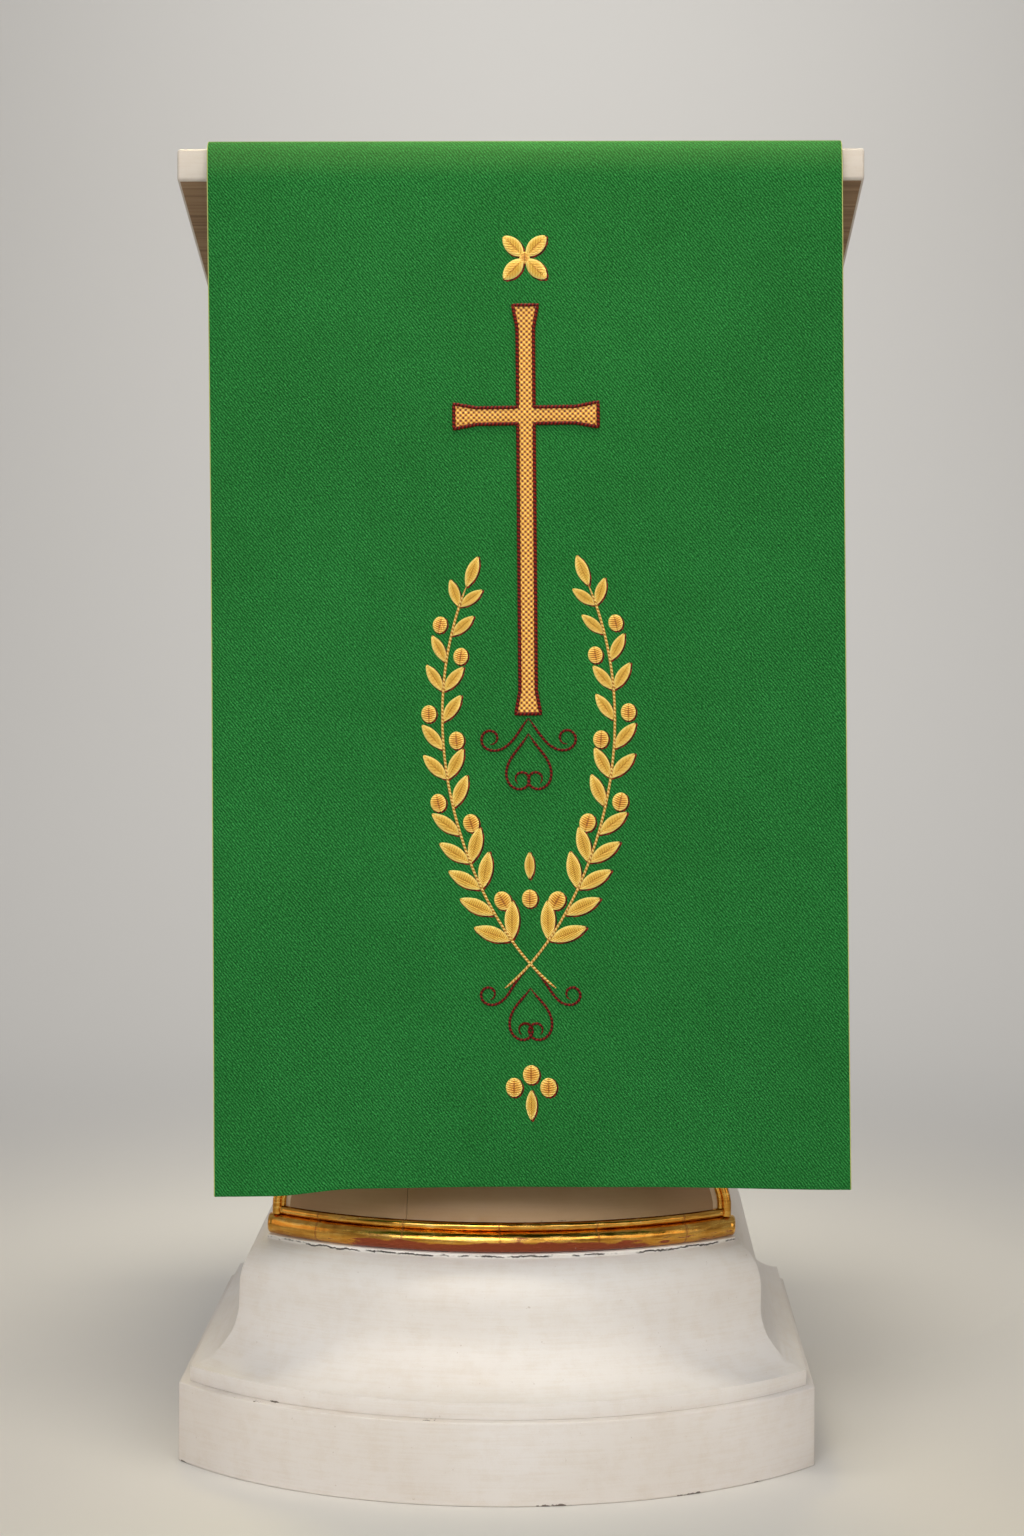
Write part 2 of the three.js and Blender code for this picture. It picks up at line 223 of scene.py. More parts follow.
def makePlinth():
    rows = [(0, 0), (0, plinth["height"])]
    obj = bowedBody("painted_plinth", rows)
    for side in (-1, 1):
        cutAway(obj, (side * foot["frontHalf"], foot["frontCorner"], 0), (side * sideNormal.x, sideNormal.y, 0))
    cutAway(obj, (0, foot["back"], 0), (0, 1, 0))
    closeHoles(obj)
    softenEdges(obj, plinth["arris"], segments=3)
    smooth(obj)
    return obj


# ---- foot moulding: a fillet, a hollow, a short upright and a round top
footMoulding = {"base": 0.0653, "ledge": 0.008, "filletTop": 0.078, "neckInset": 0.0456, "hollow": 0.051,
                "uprightTop": 0.141, "roundIn": 0.030, "roundUp": 0.039, "roundTurn": math.radians(74),
                "top": 0.1817, "lip": 0.002, "arris": 0.0008, "steps": 14}


def mouldingRows():
    m = footMoulding
    hollowEnd = math.acos((m["ledge"] + m["lip"] - (m["neckInset"] - m["hollow"])) / m["hollow"])
    hollowTop = m["filletTop"] + m["hollow"] * math.sin(hollowEnd)
    rows = [(m["ledge"], m["base"]), (m["ledge"], m["filletTop"])]
    for step in range(m["steps"] + 1):
        turn = hollowEnd * (1 - step / m["steps"])
        rows.append((m["neckInset"] - m["hollow"] + m["hollow"] * math.cos(turn),
                     hollowTop - m["hollow"] * math.sin(turn)))
    for step in range(m["steps"] + 1):
        turn = m["roundTurn"] * step / m["steps"]
        rows.append((m["neckInset"] + m["roundIn"] * (1 - math.cos(turn)),
                     m["uprightTop"] + m["roundUp"] * math.sin(turn)))
    rows.append((rows[-1][0], m["top"]))
    return rows


def makeFootMoulding():
    rows = mouldingRows()
    obj = bowedBody("foot_moulding_painted", rows)
    combine(obj, straightBody("moulding_sides", rows), "INTERSECT")
    softenEdges(obj, footMoulding["arris"], angle=28)
    leanOver(obj)
    smooth(obj, 28)
    return obj


# ---- shaft: a flare at its foot, then nearly straight up to the slanted underside of the desk
shaftRows = [(0.1820, 0.074), (0.209, 0.074), (0.232, 0.080), (0.270, 0.092), (0.330, 0.108),
             (0.430, 0.123), (0.600, 0.131), (0.840, 0.134)]
# steps are close together in the flare and wider above it: up to this height, this far apart
shaft = {"base": 0.1820, "topInset": 0.134, "above": 1.08, "arris": 0.0008,
         "steps": ((0.34, 0.006), (0.6, 0.02), (2.0, 0.06))}
desk = {"width": 0.543, "depth": 0.430, "thickness": 0.025, "front": -0.228, "topFront": 1.060,
        "arris": 0.0022, "slope": math.radians(17), "offset": 0.018}
desk["fall"] = math.tan(desk["slope"])
gap = 0.0003  # between pieces that lie against each other
hair = 0.0001  # a cut goes this far past its line
same = 0.00002  # points closer than this are in one place


def shaftInset(height):
    # a smooth curve through the rows, flat where they run straight
    if height >= shaftRows[-1][0]:
        return shaft["topInset"]
    place = max(index for index, row in enumerate(shaftRows) if row[0] <= height + 1e-9)
    (lowZ, low), (highZ, high) = shaftRows[place], shaftRows[place + 1]
    slopes = []
    for index in (place, place + 1):
        if index in (0, 1) or index == len(shaftRows) - 1:
            slopes.append(0)
            continue
        (z0, i0), (z1, i1), (z2, i2) = shaftRows[index - 1:index + 2]
        before, after = (i1 - i0) / (z1 - z0), (i2 - i1) / (z2 - z1)
        slopes.append(2 * before * after / (before + after) if before * after > 0 else 0)
    length = highZ - lowZ
    t = (height - lowZ) / length
    return ((2 * t ** 3 - 3 * t ** 2 + 1) * low + (t ** 3 - 2 * t ** 2 + t) * length * slopes[0]
            + (3 * t ** 2 - 2 * t ** 3) * high + (t ** 3 - t ** 2) * length * slopes[1])


def shaftHeights(base, top):
    heights = [base]
    while heights[-1] < top - 1e-6:
        step = next(step for limit, step in shaft["steps"] if heights[-1] < limit)
        heights.append(min(heights[-1] + step, top))
    return heights


def underDesk(y):
    return desk["topFront"] - desk["thickness"] - (y - desk["front"]) * desk["fall"]


def slantTop(obj, clear=gap):
    cutAway(obj, (0, 0, underDesk(0) - clear), (0, math.sin(desk["slope"]), math.cos(desk["slope"])))


def makeShaft():
    rows = [(shaftInset(height), height) for height in shaftHeights(shaft["base"], shaft["above"])]
    obj = bowedBody("shaft_painted", rows)
    combine(obj, straightBody("shaft_sides", rows), "INTERSECT")
    slantTop(obj)
    closeHoles(obj)
    softenEdges(obj, shaft["arris"], angle=30)
    leanOver(obj)
    smooth(obj, 30)
    return obj


# ---- panel on the shaft's front: two upright boards with a thin joint between them
panel = {"base": 0.2067, "top": 0.880, "thickness": 0.0025, "margin": 0.0129, "joint": -0.075,
         "arris": 0.0006, "past": 0.01}


def makePanel():
    heights = shaftHeights(panel["base"], panel["top"])
    outer = [(shaftInset(height) - gap - panel["thickness"], height) for height in heights]
    inner = [(shaftInset(height) - gap, height) for height in heights]
    whole = bowedBody("panel_outer", outer)
    core = bowedBody("panel_core", [(inner[0][0], panel["base"] - panel["past"])] + inner
                     + [(inner[-1][0], panel["top"] + panel["past"])])
    combine(whole, core, "DIFFERENCE")
    combine(whole, straightBody("panel_sides", inner, tighter=panel["margin"]), "INTERSECT")
    cutAway(whole, (0, 0, 0), (0, 1, 0))
    other = twin(whole)
    cutAway(whole, (panel["joint"], 0, 0), (1, 0, 0))
    cutAway(other, (panel["joint"] + gap, 0, 0), (-1, 0, 0))
    for board in (whole, other):
        softenEdges(board, panel["arris"], angle=50)
    obj = joined([whole, other], "front_boards")
    leanOver(obj)
    smooth(obj, 30)
    return obj


# ---- gilded bead across the shaft's foot, and the gilded strips up its front corners
bead = {"radius": 0.0086, "reach": 0.0076, "smallRadius": 0.0036, "smallReach": 0.0044, "steps": 120,
        "sweep": math.radians(46), "endSteps": 4, "endTurn": math.radians(20), "endReach": 0.5,
        "endFlat": 0.55, "endShort": 0.49, "tuck": 0.001, "smallShort": 0.0058}
strip = {"round": 0.0090, "small": 0.0040, "reach": 0.0060, "smallReach": 0.0030, "overhang": 0.0005}


def halfRound(name, width, height, segments):
    # a flat half ellipse in the YZ plane, its straight side on Y = 0 and its round side to -Y
    deselectAll()
    bpy.ops.mesh.primitive_circle_add(vertices=segments * 2, radius=1, fill_type="NGON",
                                      rotation=(0, math.pi / 2, 0))
    bpy.context.object.scale = (height, width, 1)
    obj = named(name)
    choose(obj)
    bpy.ops.mesh.bisect(plane_co=(0, 0, 0), plane_no=(0, 1, 0), clear_outer=True)
    bpy.ops.object.mode_set(mode="OBJECT")
    return obj


def makeBead():
    face = foot["radius"] - (shaftRows[0][1] - gap)
    rounds = [("bead_round", bead["reach"], bead["radius"], shaft["base"] + bead["radius"], 16),
              ("bead_fillet", bead["smallReach"], bead["smallRadius"],
               shaft["base"] + 2 * bead["radius"] + bead["smallRadius"], 10)]
    made = []
    for name, reach, radius, height, segments in rounds:
        obj = halfRound(name, reach, radius, segments)
        obj.data.transform(Matrix.Translation((0, foot["centre"] - face, height)))
        choose(obj)
        bpy.ops.mesh.spin(steps=bead["steps"], angle=bead["sweep"], center=(0, foot["centre"], 0),
                          axis=(0, 0, 1))
        bpy.ops.object.mode_set(mode="OBJECT")
        if sum(vertex.co.x for vertex in obj.data.vertices) < 0:
            obj.data.transform(Matrix.Scale(-1, 4, (1, 0, 0)))
        # the small round stops where the strips come down past it onto the large one
        endInset = shaftRows[0][1] - gap - bead["reach"] + bead["tuck"] + reach * bead["endShort"]
        if reach == bead["smallReach"]:
            endInset = shaftRows[0][1] + bead["smallShort"]
        half = foot["frontHalf"] - endInset * math.hypot(1, foot["spread"])
        cutAway(obj, (half, foot["frontCorner"], 0), sideNormal)
        # half of it is kept, open at the middle, and mirrored once its end is round
        cutAway(obj, (hair, 0, 0), (-1, 0, 0))
        choose(obj, "FACE", lambda face: abs(face.normal.x) > 0.98 and face.calc_center_median().x < 0.001)
        bpy.ops.mesh.delete(type="FACE")
        bpy.ops.object.mode_set(mode="OBJECT")
        # the round end of the bead, in small steps out
        choose(obj, "FACE", lambda face: face.normal.dot(sideNormal) > 0.999)
        rim = [vertex.co.copy() for vertex in bmesh.from_edit_mesh(obj.data).verts if vertex.select]
        end = sum(rim, Vector()) / len(rim)
        end.y = max(place.y for place in rim)
        for step in range(bead["endSteps"]):
            last, turn = bead["endTurn"] * step, bead["endTurn"] * (step + 1)
            out = reach * bead["endReach"] * (math.sin(turn) - math.sin(last))
            end = end + sideNormal * out
            bpy.ops.mesh.extrude_region_move(TRANSFORM_OT_translate={"value": sideNormal * out})
            wide, wideBefore = (bead["endFlat"] + (1 - bead["endFlat"]) * math.cos(angle) for angle in (turn, last))
            shrink = wide / wideBefore
            bpy.ops.transform.resize(value=(shrink, shrink, shrink), center_override=end)
        bpy.ops.object.mode_set(mode="OBJECT")
        obj.data.transform(Matrix.Translation((-hair, 0, 0)))
        mirror = obj.modifiers.new("other_half", "MIRROR")
        mirror.merge_threshold = same
        applyAll(obj)
        made.append(obj)
    obj = joined(made, "gilded_bead_leaf")
    closeHoles(obj)
    leanOver(obj)
    smooth(obj, 50)
    return obj


def cornerAngle(inset):
    # where the bow meets the inset side, seen from the bow's centre
    radius = foot["radius"] - inset
    half = foot["frontHalf"] - inset
    for _ in range(6):
        y = foot["centre"] - math.sqrt(radius ** 2 - half ** 2)
        half = (foot["frontHalf"] - inset * math.hypot(1, foot["spread"])
                + foot["spread"] * (y - foot["frontCorner"]))
    return math.asin(half / radius)


def makeStrips():
    onBead = shaft["base"] + 2 * bead["radius"]
    made = []
    rounds = [(strip["reach"], strip["round"], -strip["overhang"], 12, onBead),
              (strip["smallReach"], strip["small"], strip["round"] - strip["overhang"], 8,
               onBead + 2 * bead["smallRadius"])]
    for reach, width, along, segments, base in rounds:
        heights = shaftHeights(base, shaft["above"])
        # the section lies flat, its round side to the people, and climbs the flare row by row
        obj = halfRound("strip_section", reach, width / 2, segments)
        obj.data.transform(Matrix.Rotation(math.pi / 2, 4, "Y"))
        places = []
        for height in heights:
            inset = shaftInset(height) - gap
            angle = cornerAngle(inset) - (along + width / 2) / (foot["radius"] - inset)
            radius = foot["radius"] - inset
            places.append((radius * math.sin(angle), foot["centre"] - radius * math.cos(angle), height, angle))
        x, y, z, angle = places[0]
        obj.data.transform(Matrix.Translation((x, y, z)) @ Matrix.Rotation(angle, 4, "Z"))
        choose(obj)
        for (x, y, z, angle), (nextX, nextY, nextZ, nextAngle) in zip(places, places[1:]):
            bpy.ops.mesh.extrude_region_move(
                TRANSFORM_OT_translate={"value": (nextX - x, nextY - y, nextZ - z)})
            bpy.ops.transform.rotate(value=angle - nextAngle, orient_axis="Z",
                                     center_override=(nextX, nextY, nextZ))
        closeHoles(obj)
        slantTop(obj)
        closeHoles(obj)
        made.append(obj)
    right = joined(made, "gilded_strip_right_leaf")
    left = twin(right)
    left.name = left.data.name = "gilded_strip_left_leaf"
    left.data.transform(Matrix.Scale(-1, 4, (1, 0, 0)))
    for obj in (right, left):
        closeHoles(obj)
        leanOver(obj)
        smooth(obj, 50)
    return right, left


# ---- desk board: a slab whose back has dropped
def makeDeskBoard():
    d = desk
    deselectAll()
    bpy.ops.mesh.primitive_cube_add(size=1, scale=(d["width"], d["depth"], d["thickness"]),
                                    location=(d["offset"], d["front"] + d["depth"] / 2,
                                              d["topFront"] - d["thickness"] / 2))
    obj = named("desk_board_painted")
    choose(obj, "VERT", lambda vertex: vertex.co.y > 0)
    bpy.ops.transform.translate(value=(0, 0, -d["depth"] * d["fall"]))
    bpy.ops.object.mode_set(mode="OBJECT")
    softenEdges(obj, d["arris"], angle=30, segments=4)
    smooth(obj, 30)
    return obj


def brownUndersideForShade(obj, material):
    # the board's underside gets a brown wood material as painted shade for the dark underside
    obj.data.materials.append(material)
    choose(obj, "FACE", lambda face: face.normal.z < -0.9 and face.calc_area() > 0.05)
    obj.active_material_index = len(obj.data.materials) - 1
    bpy.ops.object.material_slot_assign()
    bpy.ops.object.mode_set(mode="OBJECT")


# ---- the cover: one sheet, rolled softly over both edges of the desk
cover = {"width": 0.500, "thickness": 0.0020, "frontDrop": 0.8125, "backDrop": 0.150, "bend": 0.010,
         "offset": 0.0212, "frontClear": 0.0028, "backClear": 0.0022, "skew": math.radians(0.63),
         "settle": 0.090, "shoulder": 0.0014, "rim": 0.0007, "columns": 104, "rows": (150, 26, 62, 22, 28),
         "nearRoll": 0.012, "nearDesk": 0.014}

# soft waves in the front drop: across, below the fold, wide, tall, forward
waves = [(-0.105, 0.430, 0.075, 0.260, -0.0050), (-0.235, 0.380, 0.045, 0.130, -0.0030),
         (-0.245, 0.560, 0.050, 0.150, 0.0030), (0.125, 0.060, 0.060, 0.060, -0.0012),
         (0.070, 0.560, 0.090, 0.240, 0.0025), (0.215, 0.640, 0.060, 0.260, -0.0025),
         (-0.250, 0.850, 0.080, 0.120, 0.0070), (0.250, 0.850, 0.090, 0.130, 0.0040),
         (0.020, 0.850, 0.160, 0.200, 0.0040)]
# the stitching draws the middle of the hem up: across, and how much lower it hangs
hemRows = [(-0.250, 0.0060), (-0.205, 0.0060), (-0.137, 0.0010), (-0.020, 0.0), (0.078, 0.0004),
           (0.250, 0.0038)]

slope = desk["slope"]
middle = cover["bend"] + cover["thickness"] / 2
frontHalfTurn = (math.pi / 2 - slope) / 2
backHalfTurn = (math.pi / 2 + slope) / 2
frontCentre = (desk["front"] + (cover["bend"] - cover["frontClear"]) * math.sin(frontHalfTurn),
               desk["topFront"] - (cover["bend"] - cover["frontClear"]) * math.cos(frontHalfTurn))
backCentre = (desk["front"] + desk["depth"] - (cover["bend"] - cover["backClear"]) * math.sin(backHalfTurn),
              desk["topFront"] - desk["depth"] * desk["fall"]
              - (cover["bend"] - cover["backClear"]) * math.cos(backHalfTurn))
frontArc = middle * (math.pi / 2 + slope)
backArc = middle * (math.pi / 2 - slope)
slopeStart = (frontCentre[0] + middle * math.sin(slope), frontCentre[1] + middle * math.cos(slope))
slopeEnd = (backCentre[0] + middle * math.sin(slope), backCentre[1] + middle * math.cos(slope))
slopeLength = ((slopeEnd[0] - slopeStart[0]) * math.cos(slope) - (slopeEnd[1] - slopeStart[1]) * math.sin(slope))
coverLength = cover["frontDrop"] + frontArc + slopeLength + backArc + cover["backDrop"]


def heightOver(y, z):
    return (z - (desk["topFront"] - (y - desk["front"]) * desk["fall"])) * math.cos(slope)


def coverPath(distance):
    # the middle surface seen from the side; distance is measured from the foot of the front roll
    if distance >= 0:
        return frontCentre[0] - middle, frontCentre[1] - distance
    back = -distance
    if back <= frontArc:
        turn = back / middle
        return frontCentre[0] - middle * math.cos(turn), frontCentre[1] + middle * math.sin(turn)
    back -= frontArc
    if back <= slopeLength:
        frontLift, backLift = heightOver(*slopeStart), heightOver(*slopeEnd)
        rest = gap + cover["thickness"] / 2
        lift = (frontLift + (rest - frontLift) * ease(0, cover["settle"], back)
                + (backLift - rest) * ease(slopeLength - 0.7 * cover["settle"], slopeLength, back))
        y, z = slopeStart[0] + math.cos(slope) * back, slopeStart[1] - math.sin(slope) * back
        over = lift - heightOver(y, z)
        return y + math.sin(slope) * over, z + math.cos(slope) * over
    back -= slopeLength
    if back <= backArc:
        turn = math.pi / 2 - slope - back / middle
        return backCentre[0] + middle * math.cos(turn), backCentre[1] + middle * math.sin(turn)
    return backCentre[0] + middle, backCentre[1] - (back - backArc)


def hemLower(across):
    if across <= hemRows[0][0]:
        return hemRows[0][1]
    for (low, lowValue), (high, highValue) in zip(hemRows, hemRows[1:]):
        if across <= high:
            return lowValue + (highValue - lowValue) * ease(low, high, across)
    return hemRows[-1][1]


def coverPoint(across, along):
    # a point of the middle surface: across from the centre line, along down from the front roll
    x = across * math.cos(cover["skew"]) + along * math.sin(cover["skew"])
    distance = along * math.cos(cover["skew"]) - across * math.sin(cover["skew"])
    forward = 0
    if distance <= 0:
        y, z = coverPath(distance)
    else:
        y, z = coverPath(distance + hemLower(across) * (distance / cover["frontDrop"]) ** 2)
        for place, below, wide, tall, amount in waves:
            forward += amount * math.exp(-0.5 * (((across - place) / wide) ** 2 + ((distance - below) / tall) ** 2))
        forward *= ease(0, 0.120, distance)
    # the stiff cloth swells a little before it hangs straight
    forward += cover["shoulder"] * ease(-0.008, 0.016, distance) * (1 - ease(0.016, 0.150, distance))
    return Vector((cover["offset"] + x, y - forward, z))


def coverRowPlaces():
    # rows are close together round the two rolls, and wider apart on the flat
    stops = [cover["frontDrop"], cover["nearRoll"], -frontArc - cover["nearDesk"],
             -frontArc - slopeLength + cover["nearDesk"], -frontArc - slopeLength - backArc - cover["nearRoll"],
             cover["frontDrop"] - coverLength]
    places = [stops[0]]
    for start, stop, steps in zip(stops, stops[1:], cover["rows"]):
        places += [start + (stop - start) * (step + 1) / steps for step in range(steps)]
    return places


def makeCover():
    rows = coverRowPlaces()
    deselectAll()
    bpy.ops.mesh.primitive_grid_add(x_subdivisions=cover["columns"], y_subdivisions=len(rows) - 1, size=1)
    obj = named("cover_cloth")
    mesh = obj.data
    # the grid's own UV becomes the flat cloth in metres, for the weave
    flat = []
    for vertex in mesh.vertices:
        across = vertex.co.x * cover["width"]
        along = rows[len(rows) - 1 - round((vertex.co.y + 0.5) * (len(rows) - 1))]
        flat.append((across, along))
    uvs = mesh.uv_layers.active.data
    for loop in mesh.loops:
        uvs[loop.index].uv = flat[loop.vertex_index]
    for vertex, place in zip(mesh.vertices, flat):
        vertex.co = coverPoint(*place)
    choose(obj)
    bpy.ops.mesh.normals_make_consistent(inside=False)
    bpy.ops.object.mode_set(mode="OBJECT")
    thicken = obj.modifiers.new("thicken", "SOLIDIFY")
    thicken.thickness = cover["thickness"]
    thicken.offset = 0
    thicken.use_even_offset = True
    softenEdges(obj, cover["rim"], angle=60)
    smooth(obj, 80)
    return obj


# ---- embroidery: a flower, a cross, two sprays of long leaves and berries, and red scrolls
# Every motif is drawn flat first: X across, Y = minus the distance below the fold, Z off the cloth.
foldTop = 0.0115  # from the fold's top down to the foot of the roll


def layOnCover(obj):
    near = 0.001
    for vertex in obj.data.vertices:
        across, along, height = vertex.co.x, -vertex.co.y - foldTop, vertex.co.z
        sideways = coverPoint(across + near, along) - coverPoint(across - near, along)
        upwards = coverPoint(across, along - near) - coverPoint(across, along + near)
        outwards = sideways.cross(upwards).normalized()
        vertex.co = coverPoint(across, along) + outwards * (cover["thickness"] / 2 + height)
    activate(obj)
    bpy.ops.object.shade_smooth()


def satinMotif(name, motif):
    # a padded shape, long in Y: a flattened ball, drawn in towards its tips, creased along its middle
    length, height = motif["length"], motif["height"]
    deselectAll()
    bpy.ops.mesh.primitive_uv_sphere_add(segments=20, ring_count=14, radius=0.5, rotation=(math.pi / 2, 0, 0))
    bpy.context.object.scale = (motif["width"], 2 * height, length)
    obj = named(name)
    ringPlaces = sorted({round(vertex.co.y, 6) for vertex in obj.data.vertices})
    for place in ringPlaces[1:-1]:
        share = abs(place) / (length / 2)
        choose(obj, "VERT", lambda vertex: abs(vertex.co.y - place) < same)
        drawnIn = 1 - motif.get("point", 0) * share ** 2
        bpy.ops.transform.resize(value=(drawnIn, 1, 1), center_override=(0, place, 0))
    choose(obj, "VERT", lambda vertex: abs(vertex.co.x) < same and vertex.co.z > height * 0.2)
    bpy.ops.transform.translate(value=(0, 0, -motif["crease"]))
    choose(obj)
    bpy.ops.mesh.bisect(plane_co=(0, 0, -hair), plane_no=(0, 0, -1), use_fill=True, clear_outer=True)
    bpy.ops.object.mode_set(mode="OBJECT")
    useFlatUv(obj)
    crown = obj.data.attributes.new("crown", "FLOAT", "POINT")
    for vertex in obj.data.vertices:
        crown.data[vertex.index].value = max(0, vertex.co.z / height)
    return obj


def copyTo(source, across, below, turn, size=1.0, flat=1.0):
    # turn is in degrees from pointing up the cloth, clockwise as the people see it
    obj = twin(source)
    obj.data.transform(Matrix.Translation((across, -below, 0)) @ Matrix.Rotation(-math.radians(turn), 4, "Z")
                       @ Matrix.Diagonal((size, size, size * flat, 1)))
    return obj


# cords: points along them and around them, and how they thin out at their ends
cord = {"step": 0.0012, "around": 8, "thin": 0.35, "taper": 8, "scroll": 0.0010, "cross": 0.0014,
        "crossStep": 0.0022}


def curveThrough(ends, steps):
    # a smooth line between four drawn points: the first, two that pull it, and the last
    line = []
    for step in range(steps + 1):
        t = step / steps
        parts = ((1 - t) ** 3, 3 * t * (1 - t) ** 2, 3 * t * t * (1 - t), t ** 3)
        line.append(tuple(sum(part * end[axis] for part, end in zip(parts, ends)) for axis in (0, 1)))
    return line


def scrollLine(across, below, heading, bends, length, side=1):
    # a line that starts at a heading (degrees from straight down) and turns by bends, in degrees a millimetre
    steps = round(length / cord["step"])
    line = [(across * side, below)]
    angle = math.radians(heading)
    for step in range(steps):
        place = step / steps * (len(bends) - 1)
        low = min(int(place), len(bends) - 2)
        bend = bends[low] + (bends[low + 1] - bends[low]) * (place - low)
        angle += math.radians(bend * cord["step"] * 1000)
        x, y = line[-1]
        line.append((x + side * cord["step"] * math.sin(angle), y + cord["step"] * math.cos(angle)))
    return line


def sewnCords(name, lines, radius, sink=0.6, closed=False):
    # threads laid on the cloth and caught down; each tapers at its ends
    curve = bpy.data.curves.new(name, "CURVE")
    curve.dimensions = "3D"
    curve.bevel_depth = radius
    curve.bevel_resolution = cord["around"] // 4
    curve.use_fill_caps = True
    for line in lines:
        spline = curve.splines.new("POLY")
        spline.points.add(len(line) - 1)
        spline.use_cyclic_u = closed
        for index, (across, below) in enumerate(line):
            spline.points[index].co = (across, -below, radius * sink, 1)
            near = min(index, len(line) - 1 - index)
            spline.points[index].radius = 1 if closed else min(
                1, cord["thin"] + (1 - cord["thin"]) * near / cord["taper"])
    obj = bpy.data.objects.new(name, curve)
    scene.collection.objects.link(obj)
    activate(obj)
    bpy.ops.object.convert(target="MESH")
    obj = bpy.context.object
    mesh = obj.data
    around = cord["around"]
    flat = mesh.uv_layers.active or mesh.uv_layers.new(name="UVMap")
    spans = []
    for line in lines:
        distance = 0
        for index, point in enumerate(line):
            if index:
                distance += math.dist(point, line[index - 1])
            spans += [distance] * around
    for loop in mesh.loops:
        if loop.vertex_index < len(spans):
            flat.data[loop.index].uv = (spans[loop.vertex_index], (loop.vertex_index % around) / around)
    return obj


cross = {"top": 0.132, "foot": 0.452, "bar": 0.218, "barHalf": 0.056, "half": 0.0057, "flare": 0.0034,
         "flareLength": 0.018, "height": 0.0011, "step": 0.006, "out": 0.0007, "arris": 0.0004, "sink": 0.7}
# each arm of the cross: its direction and how far it reaches
crossArms = [((0, 1), cross["bar"] - cross["top"]), ((-1, 0), cross["barHalf"]),
             ((0, -1), cross["foot"] - cross["bar"]), ((1, 0), cross["barHalf"])]
flower = {"below": 0.094, "petals": 4, "reach": 0.0128, "length": 0.0215, "width": 0.0125, "height": 0.0014,
          "point": 0.25, "crease": 0.0003, "middle": 0.64}
spray = {"line": ((-0.020, 0.668), (0.040, 0.622), (0.100, 0.480), (0.048, 0.352)), "steps": 240, "stemSteps": 260,
         "pairs": 13, "first": 0.15, "along": 0.80, "spread": 36, "stem": 0.0010, "tipOut": 0.0125, "tipSize": 0.84}
leafShape = {"length": 0.030, "width": 0.0116, "height": 0.0013, "point": 0.42, "crease": 0.0004, "size": 1.08,
             "shrink": 0.36, "clear": 0.0006}
berryShape = {"length": 0.015048, "width": 0.0132, "height": 0.0018, "crease": 0.0003, "size": 1.05,
              "shrink": 0.20, "turn": 58, "out": 0.0125}
# the dark red edge that shows beside each motif is a larger, flatter copy a little lower and to the right
shade = {"across": 0.0007, "below": 0.0006, "grow": 1.07, "flat": 0.35}


def crossOutline():
    c = cross
    outline = []
    for (dx, up), reach in crossArms:
        # each arm from its right-hand corner out and back, seen along the arm
        dy = -up
        nx, ny = -dy, dx
        for side, far, wide in ((-1, c["half"], c["half"]), (-1, reach - c["flareLength"], c["half"]),
                                (-1, reach, c["half"] + c["flare"]), (1, reach, c["half"] + c["flare"]),
                                (1, reach - c["flareLength"], c["half"])):
            far, wide = far + c["out"], wide + c["out"]
            outline.append((dx * far - side * nx * wide, c["bar"] + dy * far - side * ny * wide))
    return outline


def evenly(line, step):
    # the same closed line with points one step apart
    points = []
    for start, end in zip(line, line[1:] + line[:1]):
        count = max(1, round(math.dist(start, end) / step))
        for index in range(count):
            points.append(tuple(start[axis] + (end[axis] - start[axis]) * index / count for axis in (0, 1)))
    return points


def makeCrossFill():
    c = cross
    deselectAll()
    bpy.ops.mesh.primitive_plane_add(size=2 * c["half"], location=(0, -c["bar"], 0))
    obj = named("cross_fill")
    for (dx, dy), reach in crossArms:
        far = c["half"]
        # the side of the middle square that faces this arm
        choose(obj, "EDGE", lambda edge: all(
            max(abs(vertex.co.x), abs(vertex.co.y + c["bar"])) < c["half"] * 1.001
            and vertex.co.x * dx + (vertex.co.y + c["bar"]) * dy > c["half"] * 0.999 for vertex in edge.verts))
        half = c["half"]
        while far < reach - 1e-6:
            step = min(c["step"], reach - far)
            far += step
            wide = c["half"] + c["flare"] * max(0, far - (reach - c["flareLength"])) / c["flareLength"]
            bpy.ops.mesh.extrude_region_move(TRANSFORM_OT_translate={"value": (dx * step, dy * step, 0)})
            bpy.ops.transform.resize(value=(wide / half if dy else 1, wide / half if dx else 1, 1),
                                     center_override=(dx * far, dy * far - c["bar"], 0))
            half = wide
    bpy.ops.object.mode_set(mode="OBJECT")
    thicken = obj.modifiers.new("thicken", "SOLIDIFY")
    thicken.thickness = c["height"]
    thicken.offset = 1
    applyAll(obj)
    softenEdges(obj, c["arris"], angle=60)
    useFlatUv(obj)
    return obj


